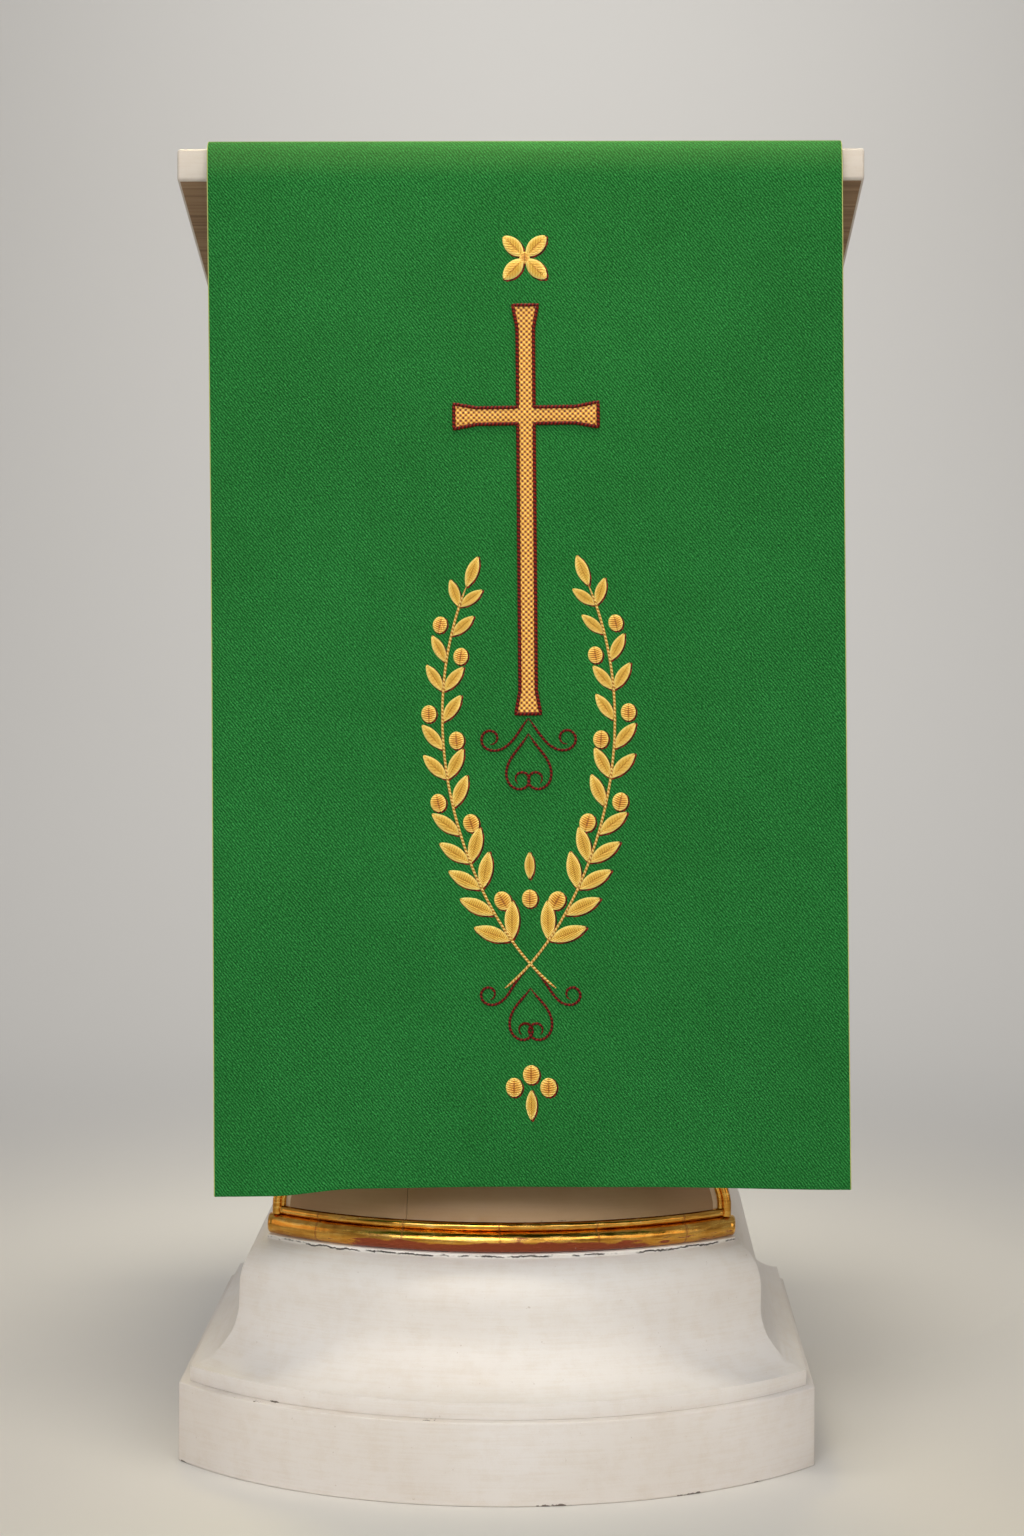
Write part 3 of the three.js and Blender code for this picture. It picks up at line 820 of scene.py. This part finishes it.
def sprayPlaces():
    # the leaves and berries of the right-hand spray: kind, across, below, turn, size
    last = spray["steps"]
    line = curveThrough(spray["line"], last)
    lengths = [0]
    for start, end in zip(line, line[1:]):
        lengths.append(lengths[-1] + math.dist(start, end))
    places = []
    for pair in range(spray["pairs"]):
        share = spray["first"] + spray["along"] * pair / (spray["pairs"] - 1)
        at = min(range(last + 1), key=lambda index: abs(lengths[index] - share * lengths[-1]))
        (x0, y0), (x1, y1) = line[max(at - 2, 0)], line[min(at + 2, last)]
        heading = math.degrees(math.atan2(x1 - x0, y0 - y1))
        x, y = line[at]
        for side in (1, -1):
            if (pair % 3 == 1 and side < 0) or (pair % 3 == 2 and side > 0 and pair > 2):
                kind, facing, size = "berry", heading, berryShape["size"] - berryShape["shrink"] * share
                turn, out = heading + side * berryShape["turn"], berryShape["out"]
            else:
                kind, size = "leaf", leafShape["size"] - leafShape["shrink"] * share
                turn = facing = heading + side * spray["spread"]
                out = leafShape["length"] * size / 2 + leafShape["clear"]
            turn = math.radians(turn)
            places.append((kind, x + out * math.sin(turn), y - out * math.cos(turn), facing, size))
    (x0, y0), (x, y) = line[-5], line[-1]
    heading, out = math.atan2(x - x0, y0 - y), spray["tipOut"]
    places.append(("leaf", x + out * math.sin(heading), y - out * math.cos(heading), math.degrees(heading),
                   spray["tipSize"]))
    return places


# dark red scrolls, right-hand ones: across, below, heading, bends along it, length
scrolls = [(0.0, 0.456, 38, (-0.8, 0.6, 3.2, 6.8, 9.5, 12.0), 0.082),
           (0.0, 0.468, 26, (1.6, -0.4, -3.2, -6.2, -9.5, -13.0), 0.088),
           (0.004, 0.655, 50, (-1.6, -0.6, 3.2, 7.2, 10.5, 13.0), 0.074),
           (0.0, 0.668, 30, (2.0, -1.2, -3.4, -6.4, -10.0, -13.0), 0.084)]
# loose motifs on the middle line and beside it: kind, across, below, size
drops = [("leaf", 0, 0.760, 0.78), ("berry", 0.0135, 0.746, 1.0), ("berry", -0.0135, 0.746, 1.0),
         ("berry", 0, 0.736, 1.0), ("leaf", 0, 0.572, 0.70), ("berry", 0, 0.598, 0.95)]


def makeEmbroidery():
    sources = {"leaf": satinMotif("leaf", leafShape), "berry": satinMotif("berry", berryShape),
               "petal": satinMotif("petal", flower)}
    rows = [(kind, side * across, below, side * turn, size) for side in (1, -1)
            for kind, across, below, turn, size in sprayPlaces()]
    for index in range(flower["petals"]):
        turn = 45 + 360 * index / flower["petals"]
        rows.append(("petal", flower["reach"] * math.sin(math.radians(turn)),
                     flower["below"] - flower["reach"] * math.cos(math.radians(turn)), turn, 1.0))
    rows += [(kind, across, below, 0, size) for kind, across, below, size in drops]
    leaves, berries, shades = [], [], []
    for kind, across, below, turn, size in rows:
        (berries if kind == "berry" else leaves).append(copyTo(sources[kind], across, below, turn, size))
        shades.append(copyTo(sources[kind], across + shade["across"], below + shade["below"], turn,
                             size * shade["grow"], shade["flat"]))
    berries.append(copyTo(sources["berry"], 0, flower["below"], 0, flower["middle"]))
    for source in sources.values():
        bpy.data.objects.remove(source)
    line = curveThrough(spray["line"], spray["stemSteps"])
    stems = [line, [(-x, y) for x, y in line]]
    red = [scrollLine(*row, side=side) for row in scrolls for side in (1, -1)]
    pieces = {
        "satin_leaves": joined(leaves, "satin_leaves"),
        "satin_berries": joined(berries, "satin_berries"),
        "red_edges": joined(shades, "red_edges"),
        "gold_stems": sewnCords("gold_stems", stems, spray["stem"]),
        "red_scrolls": sewnCords("red_scrolls", red, cord["scroll"]),
        "cross_cord": sewnCords("cross_cord", [evenly(crossOutline(), cord["crossStep"])], cord["cross"],
                                sink=cross["sink"], closed=True),
        "cross_fill": makeCrossFill(),
    }
    for obj in pieces.values():
        layOnCover(obj)
    return pieces


# ---- materials
def toLinear(code):
    parts = [int(code[start:start + 2], 16) / 255 for start in (1, 3, 5)]
    return tuple(part / 12.92 if part <= 0.04045 else ((part + 0.055) / 1.055) ** 2.4 for part in parts) + (1,)


def fill(tree, node, sockets):
    # sockets by name or number; each takes a value, a colour or another node's output
    for name, value in sockets.items():
        if isinstance(value, bpy.types.NodeSocket):
            tree.links.new(value, node.inputs[name])
        else:
            node.inputs[name].default_value = toLinear(value) if isinstance(value, str) else value


def addNode(tree, kind, sockets, **settings):
    # one node with its settings and links. TexNoise takes place, W, features a metre, detail and roughness,
    # MapRange takes a value and what it goes from and to, and a colour Mix has its sockets at 0, 6 and 7.
    node = tree.nodes.new("ShaderNode" + kind)
    for name, value in settings.items():
        if name == "stops":
            elements = node.color_ramp.elements
            elements.remove(elements[-1])
            elements[0].position, elements[0].color = value[0][0], toLinear(value[0][1])
            for place, colour in value[1:]:
                elements.new(place).color = toLinear(colour)
        else:
            setattr(node, name, value)
    fill(tree, node, sockets if isinstance(sockets, dict) else dict(enumerate(sockets)))
    return node.outputs


def newMaterial(name):
    material = bpy.data.materials.new(name)
    material.use_nodes = True
    tree = material.node_tree
    return material, tree, addNode(tree, "TexCoord", {})


def weighed(tree, parts, total=0.0):
    # several values, each times its weight, added together
    for value, weight in parts:
        total = addNode(tree, "Math", [value, weight, total], operation="MULTIPLY_ADD")[0]
    return total


def layered(tree, colour, layers):
    # tints laid over a colour in turn, each where its mask is and as strongly as its amount
    for mask, amount, tint in layers:
        share = addNode(tree, "Math", [mask, amount], operation="MULTIPLY")[0]
        colour = addNode(tree, "Mix", {0: share, 6: colour, 7: tint}, data_type="RGBA")[2]
    return colour


def finishShader(tree, sockets, relief, strength, depth):
    # the shader's own sockets, and a bump of a real depth from a relief
    bump = addNode(tree, "Bump", {"Strength": strength, "Distance": depth, "Height": relief})[0]
    fill(tree, tree.nodes["Principled BSDF"], {**sockets, "Normal": bump})


smoothly = {"interpolation_type": "SMOOTHSTEP"}


# Oil paint brushed on wood and aged: satin, nearly even, with faint warm and cool clouds, hairline brush
# marks, small dark nicks where an edge has been knocked (at the plinth's foot and top ledge also a painted shadow
# line), and chalk-white filler along a cracked joint.
paint = {"rough": 0.46, "dirt": "#f9f6f2", "speck": "#93795b", "nick": "#4d3a28", "filler": "#f4efe8",
         "crack": "#241a13", "crackHalf": 0.0010, "wander": 0.006}


def agedPaint(name, tone, nicks=(), crack=None):
    material, tree, coordinates = newMaterial(name)
    place = coordinates["Object"]
    height = addNode(tree, "SeparateXYZ", [place])[2]
    clouds = addNode(tree, "TexNoise", [place, 0, 6])[0]  # clouds of about 170 mm
    colour = addNode(tree, "ValToRGB", [clouds], stops=list(zip((0.34, 0.5, 0.66), tone)))[0]
    blotches = addNode(tree, "TexNoise", [place, 0, 70, 5, 0.6])[0]  # blotches of 14 mm
    # brush marks 2 mm apart and 50 mm long
    along = addNode(tree, "Mapping", {"Vector": place, "Scale": (20, 20, 520)})[0]
    brush = addNode(tree, "TexNoise", [along, 0, 1, 3, 0.6])[0]
    grain = addNode(tree, "TexNoise", [place, 0, 900, 2, 0.6])[0]
    dirt = weighed(tree, [(blotches, 0.45), (brush, 0.35), (grain, 0.20)])
    shade = addNode(tree, "ValToRGB", [dirt], stops=[(0.38, paint["dirt"]), (0.54, "#ffffff")])[0]
    colour = addNode(tree, "Mix", {0: 1.0, 6: colour, 7: shade}, data_type="RGBA", blend_type="MULTIPLY")[2]
    specks = addNode(tree, "TexNoise", [place, 0, 330])[0]  # specks of 2 mm, few and faint
    layers = [(addNode(tree, "MapRange", [specks, 0.72, 0.80], **smoothly)[0], 0.35, paint["speck"])]
    relief = [(brush, 0.35), (blotches, 0.65)]
    chips = addNode(tree, "TexNoise", [place, 0, 170, 4, 0.65])[0]  # nicks of 3 to 6 mm
    stretches = addNode(tree, "TexNoise", [place, 0, 16, 1])[0]
    rarely = addNode(tree, "MapRange", [stretches, 0.50, 0.66], **smoothly)[0]  # only along some stretches
    for edgeHeight, band, amount in nicks:
        away = addNode(tree, "Math", [weighed(tree, [(height, 1.0)], -edgeHeight)], operation="ABSOLUTE")[0]
        near = addNode(tree, "MapRange", [away, 0.0, band, 1.0, 0.0], **smoothly)[0]
        near = addNode(tree, "Math", [near, rarely], operation="MULTIPLY")[0]
        near = addNode(tree, "Math", [near, chips], operation="MULTIPLY")[0]
        mask = addNode(tree, "MapRange", [near, 0.60 - amount, 0.64 - amount], **smoothly)[0]
        layers.append((mask, 0.85, paint["nick"]))
        relief.append((mask, -1.0))
    if crack:
        # a wavering dark crack, broken along its length, with filler above it
        waver = addNode(tree, "TexNoise", [place, 0, 85, 5, 0.72])[0]
        away = weighed(tree, [(height, 1.0), (waver, paint["wander"])], -crack - paint["wander"] / 2)
        near = addNode(tree, "Math", [away], operation="ABSOLUTE")[0]
        line = addNode(tree, "MapRange", [near, 0.0002, paint["crackHalf"], 1.0, 0.0], **smoothly)[0]
        breaks = addNode(tree, "TexNoise", [place, 0, 48, 3, 0.6])[0]
        breaks = addNode(tree, "MapRange", [breaks, 0.44, 0.52], **smoothly)[0]
        line = addNode(tree, "Math", [line, breaks], operation="MULTIPLY")[0]
        filler = addNode(tree, "MapRange", [away, 0.0002, 0.0008], **smoothly)[0]
        layers += [(filler, 0.8, paint["filler"]), (line, 1.0, paint["crack"])]
        relief += [(filler, 0.6), (line, -2.0)]
    rough = addNode(tree, "MapRange", [blotches, 0.3, 0.7, paint["rough"] - 0.06, paint["rough"] + 0.08],
                    **smoothly)[0]
    finishShader(tree, {"Base Color": layered(tree, colour, layers), "Roughness": rough},
                 weighed(tree, relief), 0.35, 0.0005)
    return material


# Brown softwood board with straight grain across the desk, a little dusty; its brown is painted shade for the
# desk's underside.
def brownWoodForShade():
    material, tree, coordinates = newMaterial("softwood_brown_painted_shade")
    # growth rings 4 mm apart
    along = addNode(tree, "Mapping", {"Vector": coordinates["Object"], "Scale": (7, 260, 260)})[0]
    grain = addNode(tree, "TexNoise", [along, 0, 1, 4, 0.62])[0]
    knots = addNode(tree, "TexNoise", [coordinates["Object"], 0, 9])[0]
    colour = addNode(tree, "ValToRGB", [weighed(tree, [(grain, 0.7), (knots, 0.3)])],
                     stops=[(0.36, "#7f644a"), (0.5, "#9b7e5f"), (0.64, "#a98d6e")])[0]
    finishShader(tree, {"Base Color": colour, "Roughness": 0.75}, grain, 0.4, 0.0005)
    return material


# Gold leaf laid over red bole and burnished: bright warm metal with soft streaks, the red clay showing
# through where it has been rubbed (along the bead's lower half also as painted shade), and a faint line at each
# leaf's lap.
gilding = {"laps": 21.7, "bole": "#8f3f1b", "nick": "#e6dccb",
           "gold": [(0.32, "#b1762c"), (0.46, "#d4983e"), (0.58, "#e9b85c"), (0.7, "#fae2a4")]}


def burnishedLeaf(name, worn, rubbedAndShadedBelow=None):
    material, tree, coordinates = newMaterial(name)
    place = coordinates["Object"]
    split = addNode(tree, "SeparateXYZ", [place])
    centred = addNode(tree, "Mapping", {"Vector": place, "Location": (0, -foot["centre"], 0)})[0]
    around = addNode(tree, "TexGradient", [centred], gradient_type="RADIAL")[1]
    waver = addNode(tree, "TexNoise", [place, 0, 120])[0]
    lap = weighed(tree, [(around, gilding["laps"]), (waver, 0.06)])
    lap = weighed(tree, [(addNode(tree, "Math", [lap], operation="FRACT")[0], 1.0)], -0.5)
    lap = addNode(tree, "Math", [lap], operation="ABSOLUTE")[0]
    lap = addNode(tree, "MapRange", [lap, 0.004, 0.02, 0.5, 0.0], **smoothly)[0]
    along = addNode(tree, "Mapping", {"Vector": place, "Scale": (45, 45, 500)})[0]
    streaks = addNode(tree, "TexNoise", [along, 0, 1, 4, 0.6])[0]  # rubbed along its length
    blots = addNode(tree, "TexNoise", [place, 0, 70, 4, 0.62])[0]
    patches = addNode(tree, "TexNoise", [place, 0, 14])[0]  # stretches of 70 mm rubbed more than others
    rubbed = weighed(tree, [(streaks, 0.4), (blots, 0.25), (patches, 0.35)])
    if rubbedAndShadedBelow:
        # rubbed through along its foot, most of all in its middle third; there the red also stands as painted shade
        # on the bead's downward-facing lower half
        low = addNode(tree, "MapRange", [split[2], rubbedAndShadedBelow - 0.0045, rubbedAndShadedBelow + 0.0015, 0.26, 0.0],
                      **smoothly)[0]
        side = addNode(tree, "Math", [split[0]], operation="ABSOLUTE")[0]
        inner = addNode(tree, "MapRange", [side, 0.05, 0.17, 1.0, 0.1], **smoothly)[0]
        rubbed = weighed(tree, [(low, inner)], rubbed)
    bole = addNode(tree, "MapRange", [rubbed, worn, worn + 0.06], **smoothly)[0]
    bole = addNode(tree, "Math", [bole, lap], operation="MAXIMUM")[0]
    gold = addNode(tree, "ValToRGB", [weighed(tree, [(blots, 0.4), (streaks, 0.6)])], stops=gilding["gold"])[0]
    nicks = addNode(tree, "TexNoise", [place, 0, 210])[0]
    nicks = addNode(tree, "MapRange", [nicks, 0.76, 0.78], **smoothly)[0]  # pale nicks of 2 mm
    dents = addNode(tree, "TexNoise", [place, 0, 60])[0]
    finishShader(tree, {
        "Base Color": layered(tree, gold, [(bole, 1.0, gilding["bole"]), (nicks, 1.0, gilding["nick"])]),
        "Metallic": addNode(tree, "MapRange", [bole, 0.0, 1.0, 1.0, 0.45], **smoothly)[0],
        "Roughness": addNode(tree, "MapRange", [streaks, 0.3, 0.7, 0.12, 0.30], **smoothly)[0],
    }, weighed(tree, [(dents, 1.0), (streaks, 0.25)]), 0.5, 0.0010)
    return material


# Wool twill, woven and lightly brushed: a matt, slightly heathered green with fine slanting ribs and a
# soft fuzz that catches the light at its edges.
twill = {"ribs": 0.0020, "slant": 40, "green": [(0.36, "#0f5520"), (0.5, "#207231"), (0.64, "#39944a")],
         "foldHighlight": "#8cbc66", "edgeHighlight": "#d3d68a", "fuzz": "#d8e07a"}
waveScale = 0.314  # a wave texture of this scale over a length repeats once in that length


def woolTwill():
    material, tree, coordinates = newMaterial("wool_twill_brushed")
    flat = coordinates["UV"]
    # real ribs are 0.8 mm apart; drawn 2 mm apart so that they show
    slanted = addNode(tree, "Mapping", {"Vector": flat, "Rotation": (0, 0, math.radians(twill["slant"]))})[0]
    ribs = addNode(tree, "TexWave", {"Vector": slanted, "Scale": waveScale / twill["ribs"], "Distortion": 2.5,
                                     "Detail": 2.0, "Detail Scale": 1.5})[1]
    along = addNode(tree, "Mapping", {"Vector": slanted, "Scale": (900, 420, 1)})[0]
    yarn = addNode(tree, "TexNoise", [along, 0, 1, 3, 0.7])[0]  # slubs 1 by 2.4 mm along the rib
    athwart = addNode(tree, "Mapping", {"Vector": flat, "Scale": (560, 1000, 1)})[0]
    crossYarn = addNode(tree, "TexNoise", [athwart, 0, 1, 2, 0.7])[0]
    heather = addNode(tree, "TexNoise", [flat, 0, 620, 3, 0.7])[0]  # flecks of 1.6 mm
    clouds = addNode(tree, "TexNoise", [flat, 0, 7, 3])[0]  # soft patches of 140 mm
    patches = addNode(tree, "TexNoise", [flat, 0, 38, 3, 0.55])[0]
    weave = weighed(tree, [(ribs, 0.22), (yarn, 0.48), (crossYarn, 0.30)])
    colour = addNode(tree, "ValToRGB", [weave], stops=twill["green"])[0]
    for how, share, value, stops in (("OVERLAY", 0.6, heather, [(0.34, "#6e6e6e"), (0.66, "#d6d6d6")]),
                                     ("MULTIPLY", 0.28, clouds, [(0.35, "#c3d2be"), (0.65, "#ffffff")]),
                                     ("MULTIPLY", 0.18, patches, [(0.35, "#c8d6c4"), (0.6, "#ffffff")])):
        tint = addNode(tree, "ValToRGB", [value], stops=stops)[0]
        colour = addNode(tree, "Mix", {0: share, 6: colour, 7: tint}, data_type="RGBA", blend_type=how)[2]
    # painted highlight: paler over the front fold where the roll faces the light from above, and a pale yellow
    # painted highlight along the long edges
    across, down = addNode(tree, "SeparateXYZ", [flat])[:2]
    fromFold = addNode(tree, "Math", [weighed(tree, [(down, 1.0)], 0.010)], operation="ABSOLUTE")[0]
    foldHighlight = addNode(tree, "MapRange", [fromFold, 0.006, 0.032, 1.0, 0.0], **smoothly)[0]
    out = addNode(tree, "Math", [across], operation="ABSOLUTE")[0]
    half = cover["width"] / 2
    edge = addNode(tree, "MapRange", [out, half - 0.0010, half - 0.0004], **smoothly)[0]
    colour = layered(tree, colour, [(foldHighlight, 0.10, twill["foldHighlight"]), (edge, 0.8, twill["edgeHighlight"])])
    finishShader(tree, {"Base Color": colour, "Roughness": 0.95, "Specular IOR Level": 0.15,
                        "Sheen Weight": 0.25, "Sheen Roughness": 0.25, "Sheen Tint": twill["fuzz"]},
                 weave, 0.55, 0.0007)
    return material


# Rayon and metal-wrapped thread in satin stitch: close parallel threads with a silky gold gleam, with a painted
# highlight pale at the rims and painted shade amber in the crease.
def satinThread(name, pitch, slant, pale, mid, deep):
    material, tree, coordinates = newMaterial(name)
    flat = coordinates["UV"]
    across, along = addNode(tree, "SeparateXYZ", [flat])[:2]
    # the threads run out from the middle line on both sides
    out = addNode(tree, "Math", [across], operation="ABSOLUTE")[0]
    wobble = addNode(tree, "TexNoise", [flat, 0, 300])[0]
    turns = 2 * math.pi / pitch
    phase = weighed(tree, [(along, turns), (out, -slant * turns), (wobble, 2.2)])
    threads = weighed(tree, [(addNode(tree, "Math", [phase], operation="SINE")[0], 0.5)], 0.5)
    stretched = addNode(tree, "Mapping", {"Vector": flat, "Scale": (120, 900, 1)})[0]
    tone = addNode(tree, "TexNoise", [stretched, 0, 1])[0]
    crown = addNode(tree, "Attribute", [], attribute_name="crown")[2]
    # painted highlight: pale where the threads dive into the cloth; painted shade: deep along the middle seam
    rim = addNode(tree, "MapRange", [crown, 0.30, 0.98, 0.42, 0.0], **smoothly)[0]
    seamShade = addNode(tree, "MapRange", [out, 0.0003, 0.0011, 0.28, 0.0], **smoothly)[0]
    value = weighed(tree, [(threads, 0.32), (tone, 0.36), (rim, 1.0), (seamShade, -1.0)])
    colour = addNode(tree, "ValToRGB", [value], stops=[(0.14, deep), (0.40, mid), (0.72, pale)])[0]
    finishShader(tree, {"Base Color": colour, "Metallic": 0.08, "Roughness": 0.38, "Specular IOR Level": 0.35},
                 threads, 0.8, 0.0006)
    return material


# Gold thread couched in a diamond lattice, with a dark dot of ground in each diamond.
lattice = {"pitch": 0.0042, "gold": [(0.12, "#571f06"), (0.34, "#bd7220"), (0.6, "#e3a338"), (0.9, "#fbd36c")]}


def latticeThread():
    material, tree, coordinates = newMaterial("gold_thread_couched_lattice")
    flat = coordinates["UV"]
    across, along = addNode(tree, "SeparateXYZ", [flat])[:2]
    # real dots are about 1.2 mm apart; drawn 2.1 mm apart so that they show
    waves = [addNode(tree, "Math", [weighed(tree, [(way, 2 * math.pi / lattice["pitch"])])], operation="SINE")[0]
             for way in (across, along)]
    crossings = addNode(tree, "Math", waves, operation="MULTIPLY")[0]
    uneven = addNode(tree, "TexNoise", [flat, 0, 400])[0]
    value = weighed(tree, [(crossings, 0.5), (uneven, 0.4)], 0.3)
    colour = addNode(tree, "ValToRGB", [value], stops=lattice["gold"])[0]
    finishShader(tree, {"Base Color": colour, "Metallic": 0.12, "Roughness": 0.42}, value, 0.8, 0.0005)
    return material


# Two-ply twisted rayon cord: slanting plies with a soft shine.
def twistedCord(name, pitch, deep, mid, pale):
    material, tree, coordinates = newMaterial(name)
    along, around = addNode(tree, "SeparateXYZ", [coordinates["UV"]])[:2]
    turn = weighed(tree, [(along, 2 * math.pi / pitch), (around, 2 * math.pi)])
    plies = weighed(tree, [(addNode(tree, "Math", [turn], operation="SINE")[0], 0.5)], 0.5)
    colour = addNode(tree, "ValToRGB", [plies], stops=[(0.15, deep), (0.55, mid), (0.9, pale)])[0]
    finishShader(tree, {"Base Color": colour, "Roughness": 0.5, "Specular IOR Level": 0.2}, plies, 0.6, 0.0004)
    return material


def dress(obj, material):
    obj.data.materials.clear()
    obj.data.materials.append(material)


# ---- floor, lights
studio = {"floor": "#dedcd8", "floorCloud": "#dad7d2", "sky": "#f4f4f6", "ambient": 0.32, "size": 16,
          "place": (0, -3.5, 0), "wall": 7, "bend": 2.2}
# name, place, aim, size, power, colour, spread in degrees
lights = [("key", (-0.40, -2.3, 1.55), (0.02, -0.24, 0.0), 0.8, 3.2, "#fffefc", 70),
          ("right_fill", (1.5, -2.9, 1.9), (0, -0.2, 0.15), 1.2, 4.0, "#fffefc", 110),
          ("left_fill", (-1.6, -2.8, 1.5), (0, -0.2, 0.15), 1.0, 4.0, "#fffefc", 110),
          ("front_card", (0.2, -3.8, 0.6), (0, -0.2, 0.3), 2.0, 9.3, "#fffefc", 180),
          ("right_card", (2.3, -1.7, 1.0), (0.1, -0.1, 0.3), 1.4, 7.2, "#ffe4c4", 180),
          ("left_card", (-3.0, -0.4, 0.7), (-0.1, -0.1, 0.3), 1.6, 5.4, "#ffd6a6", 180),
          ("overhead", (0.1, -0.62, 2.4), (0.02, 0.10, 1.0), 0.6, 3.2, "#fff6e0", 44),
          ("rim", (-0.4, 1.5, 2.3), (0.0, -0.2, 1.06), 0.9, 5, "#ffe9a8", 32),
          ("backdrop", (0, 1.9, 3.2), (0, 4.5, 1.2), 2.0, 40, "#fffefc", 160)]


def makeStudio():
    deselectAll()
    bpy.ops.mesh.primitive_plane_add(size=studio["size"], location=studio["place"])
    floor = named("floor")
    choose(floor, "EDGE", lambda edge: all(vertex.co.y > 0 for vertex in edge.verts))
    bpy.ops.mesh.extrude_region_move(TRANSFORM_OT_translate={"value": (0, 0, studio["wall"])})
    choose(floor, "EDGE", lambda edge: all(vertex.co.y > 0 and vertex.co.z < 0.1 for vertex in edge.verts))
    bpy.ops.mesh.bevel(offset=studio["bend"], segments=24, affect="EDGES")
    bpy.ops.object.mode_set(mode="OBJECT")
    smooth(floor, 60)
    material, tree, coordinates = newMaterial("studio_floor_matt")
    clouds = addNode(tree, "TexNoise", [coordinates["Object"], 0, 1.2])[0]
    colour = layered(tree, studio["floor"], [(clouds, 0.2, studio["floorCloud"])])
    fill(tree, tree.nodes["Principled BSDF"], {"Base Color": colour, "Roughness": 0.85})
    dress(floor, material)
    world = bpy.data.worlds.new("studio")
    scene.world = world
    world.use_nodes = True
    world.node_tree.nodes["Background"].inputs[0].default_value = toLinear(studio["sky"])
    world.node_tree.nodes["Background"].inputs[1].default_value = studio["ambient"]
    for name, place, aim, size, power, colour, spread in lights:
        data = bpy.data.lights.new(name, "AREA")
        data.energy = power
        data.size = size
        data.color = toLinear(colour)[:3]
        data.spread = math.radians(spread)
        lamp = bpy.data.objects.new(name, data)
        lamp.location = place
        lamp.rotation_euler = (Vector(aim) - Vector(place)).to_track_quat("-Z", "Y").to_euler()
        scene.collection.objects.link(lamp)


print("building the studio")
makeStudio()
print("building the lectern")
paintedPlinth = makePlinth()
paintedMoulding = makeFootMoulding()
paintedShaft = makeShaft()
frontBoards = makePanel()
beadLeaf = makeBead()
stripRight, stripLeft = makeStrips()
paintedDesk = makeDeskBoard()
print("laying the cover")
clothCover = makeCover()
print("sewing the embroidery")
sewn = makeEmbroidery()

print("finishing the surfaces")
# the bands at the foot and at the top ledge are chips, and also a painted shadow line where the plinth meets the
# floor and the moulding
dress(paintedPlinth, agedPaint("oil_paint_plinth", ("#dcd5ce", "#dfd9d3", "#e2ddd9"),
                               nicks=[(0.0, 0.005, 0.22), (0.065, 0.002, 0.05)]))
# the band at the moulding's foot is chips, and also a painted shadow line along the ledge
dress(paintedMoulding, agedPaint("oil_paint_moulding", ("#e2dcd6", "#e4dfda", "#e7e3df"),
                                 nicks=[(0.0655, 0.002, 0.06)], crack=0.1799))
# the shaft's paint is warmer and darker than the plinth's, as painted shade for its sides, which turn away from the
# front lights
dress(paintedShaft, agedPaint("oil_paint_shaft_painted_shade", ("#d4ba9c", "#d7c0a4", "#dac6ac"), nicks=[(0.183, 0.002, 0.06)]))
# the boards' dark brown is painted shade: the same white paint as the rest, darkened for the shade under the
# cover's hem
dress(frontBoards, agedPaint("oil_paint_boards_painted_shade", ("#9a764f", "#a3825b", "#ac8c68"), nicks=[(0.2075, 0.002, 0.06)]))
dress(paintedDesk, agedPaint("oil_paint_desk", ("#cdc3ba", "#d0c8bf", "#d4ccc4")))
brownUndersideForShade(paintedDesk, brownWoodForShade())
dress(beadLeaf, burnishedLeaf("gold_leaf_bead", 0.56, rubbedAndShadedBelow=0.1915))
stripGold = burnishedLeaf("gold_leaf_strips", 0.60)
dress(stripRight, stripGold)
dress(stripLeft, stripGold)
dress(clothCover, woolTwill())
dress(sewn["satin_leaves"], satinThread("gold_rayon_satin", 0.0018, 1.0, "#ffe688", "#efbc42", "#b87820"))
dress(sewn["satin_berries"], satinThread("gold_rayon_berry", 0.0018, 0.2, "#ffdf7c", "#e29f2c", "#9a560f"))
dress(sewn["gold_stems"], twistedCord("gold_cord_twisted", 0.0030, "#a8701f", "#d9ab50", "#efd084"))
redCord = twistedCord("red_cord_twisted", 0.0030, "#380401", "#5c0a04", "#84140a")
for name in ("red_scrolls", "cross_cord", "red_edges"):
    dress(sewn[name], redCord)
dress(sewn["cross_fill"], latticeThread())

for piece, node, slot in ((paintedPlinth, "plinth", "plinth_paint"),
                          (paintedMoulding, "foot_moulding", "moulding_paint"),
                          (paintedShaft, "shaft", "shaft_paint"), (frontBoards, "front_panel", "panel_paint"),
                          (beadLeaf, "gilded_bead", "bead_gilt"),
                          (stripRight, "gilded_strip_right", "strip_gilt"),
                          (stripLeft, "gilded_strip_left", "strip_gilt"),
                          (paintedDesk, "desk_board", "desk_paint"), (clothCover, "cover", "cover_cloth")):
    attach(piece, "root")
    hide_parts(node)
for piece in sewn.values():
    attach(piece, "root")
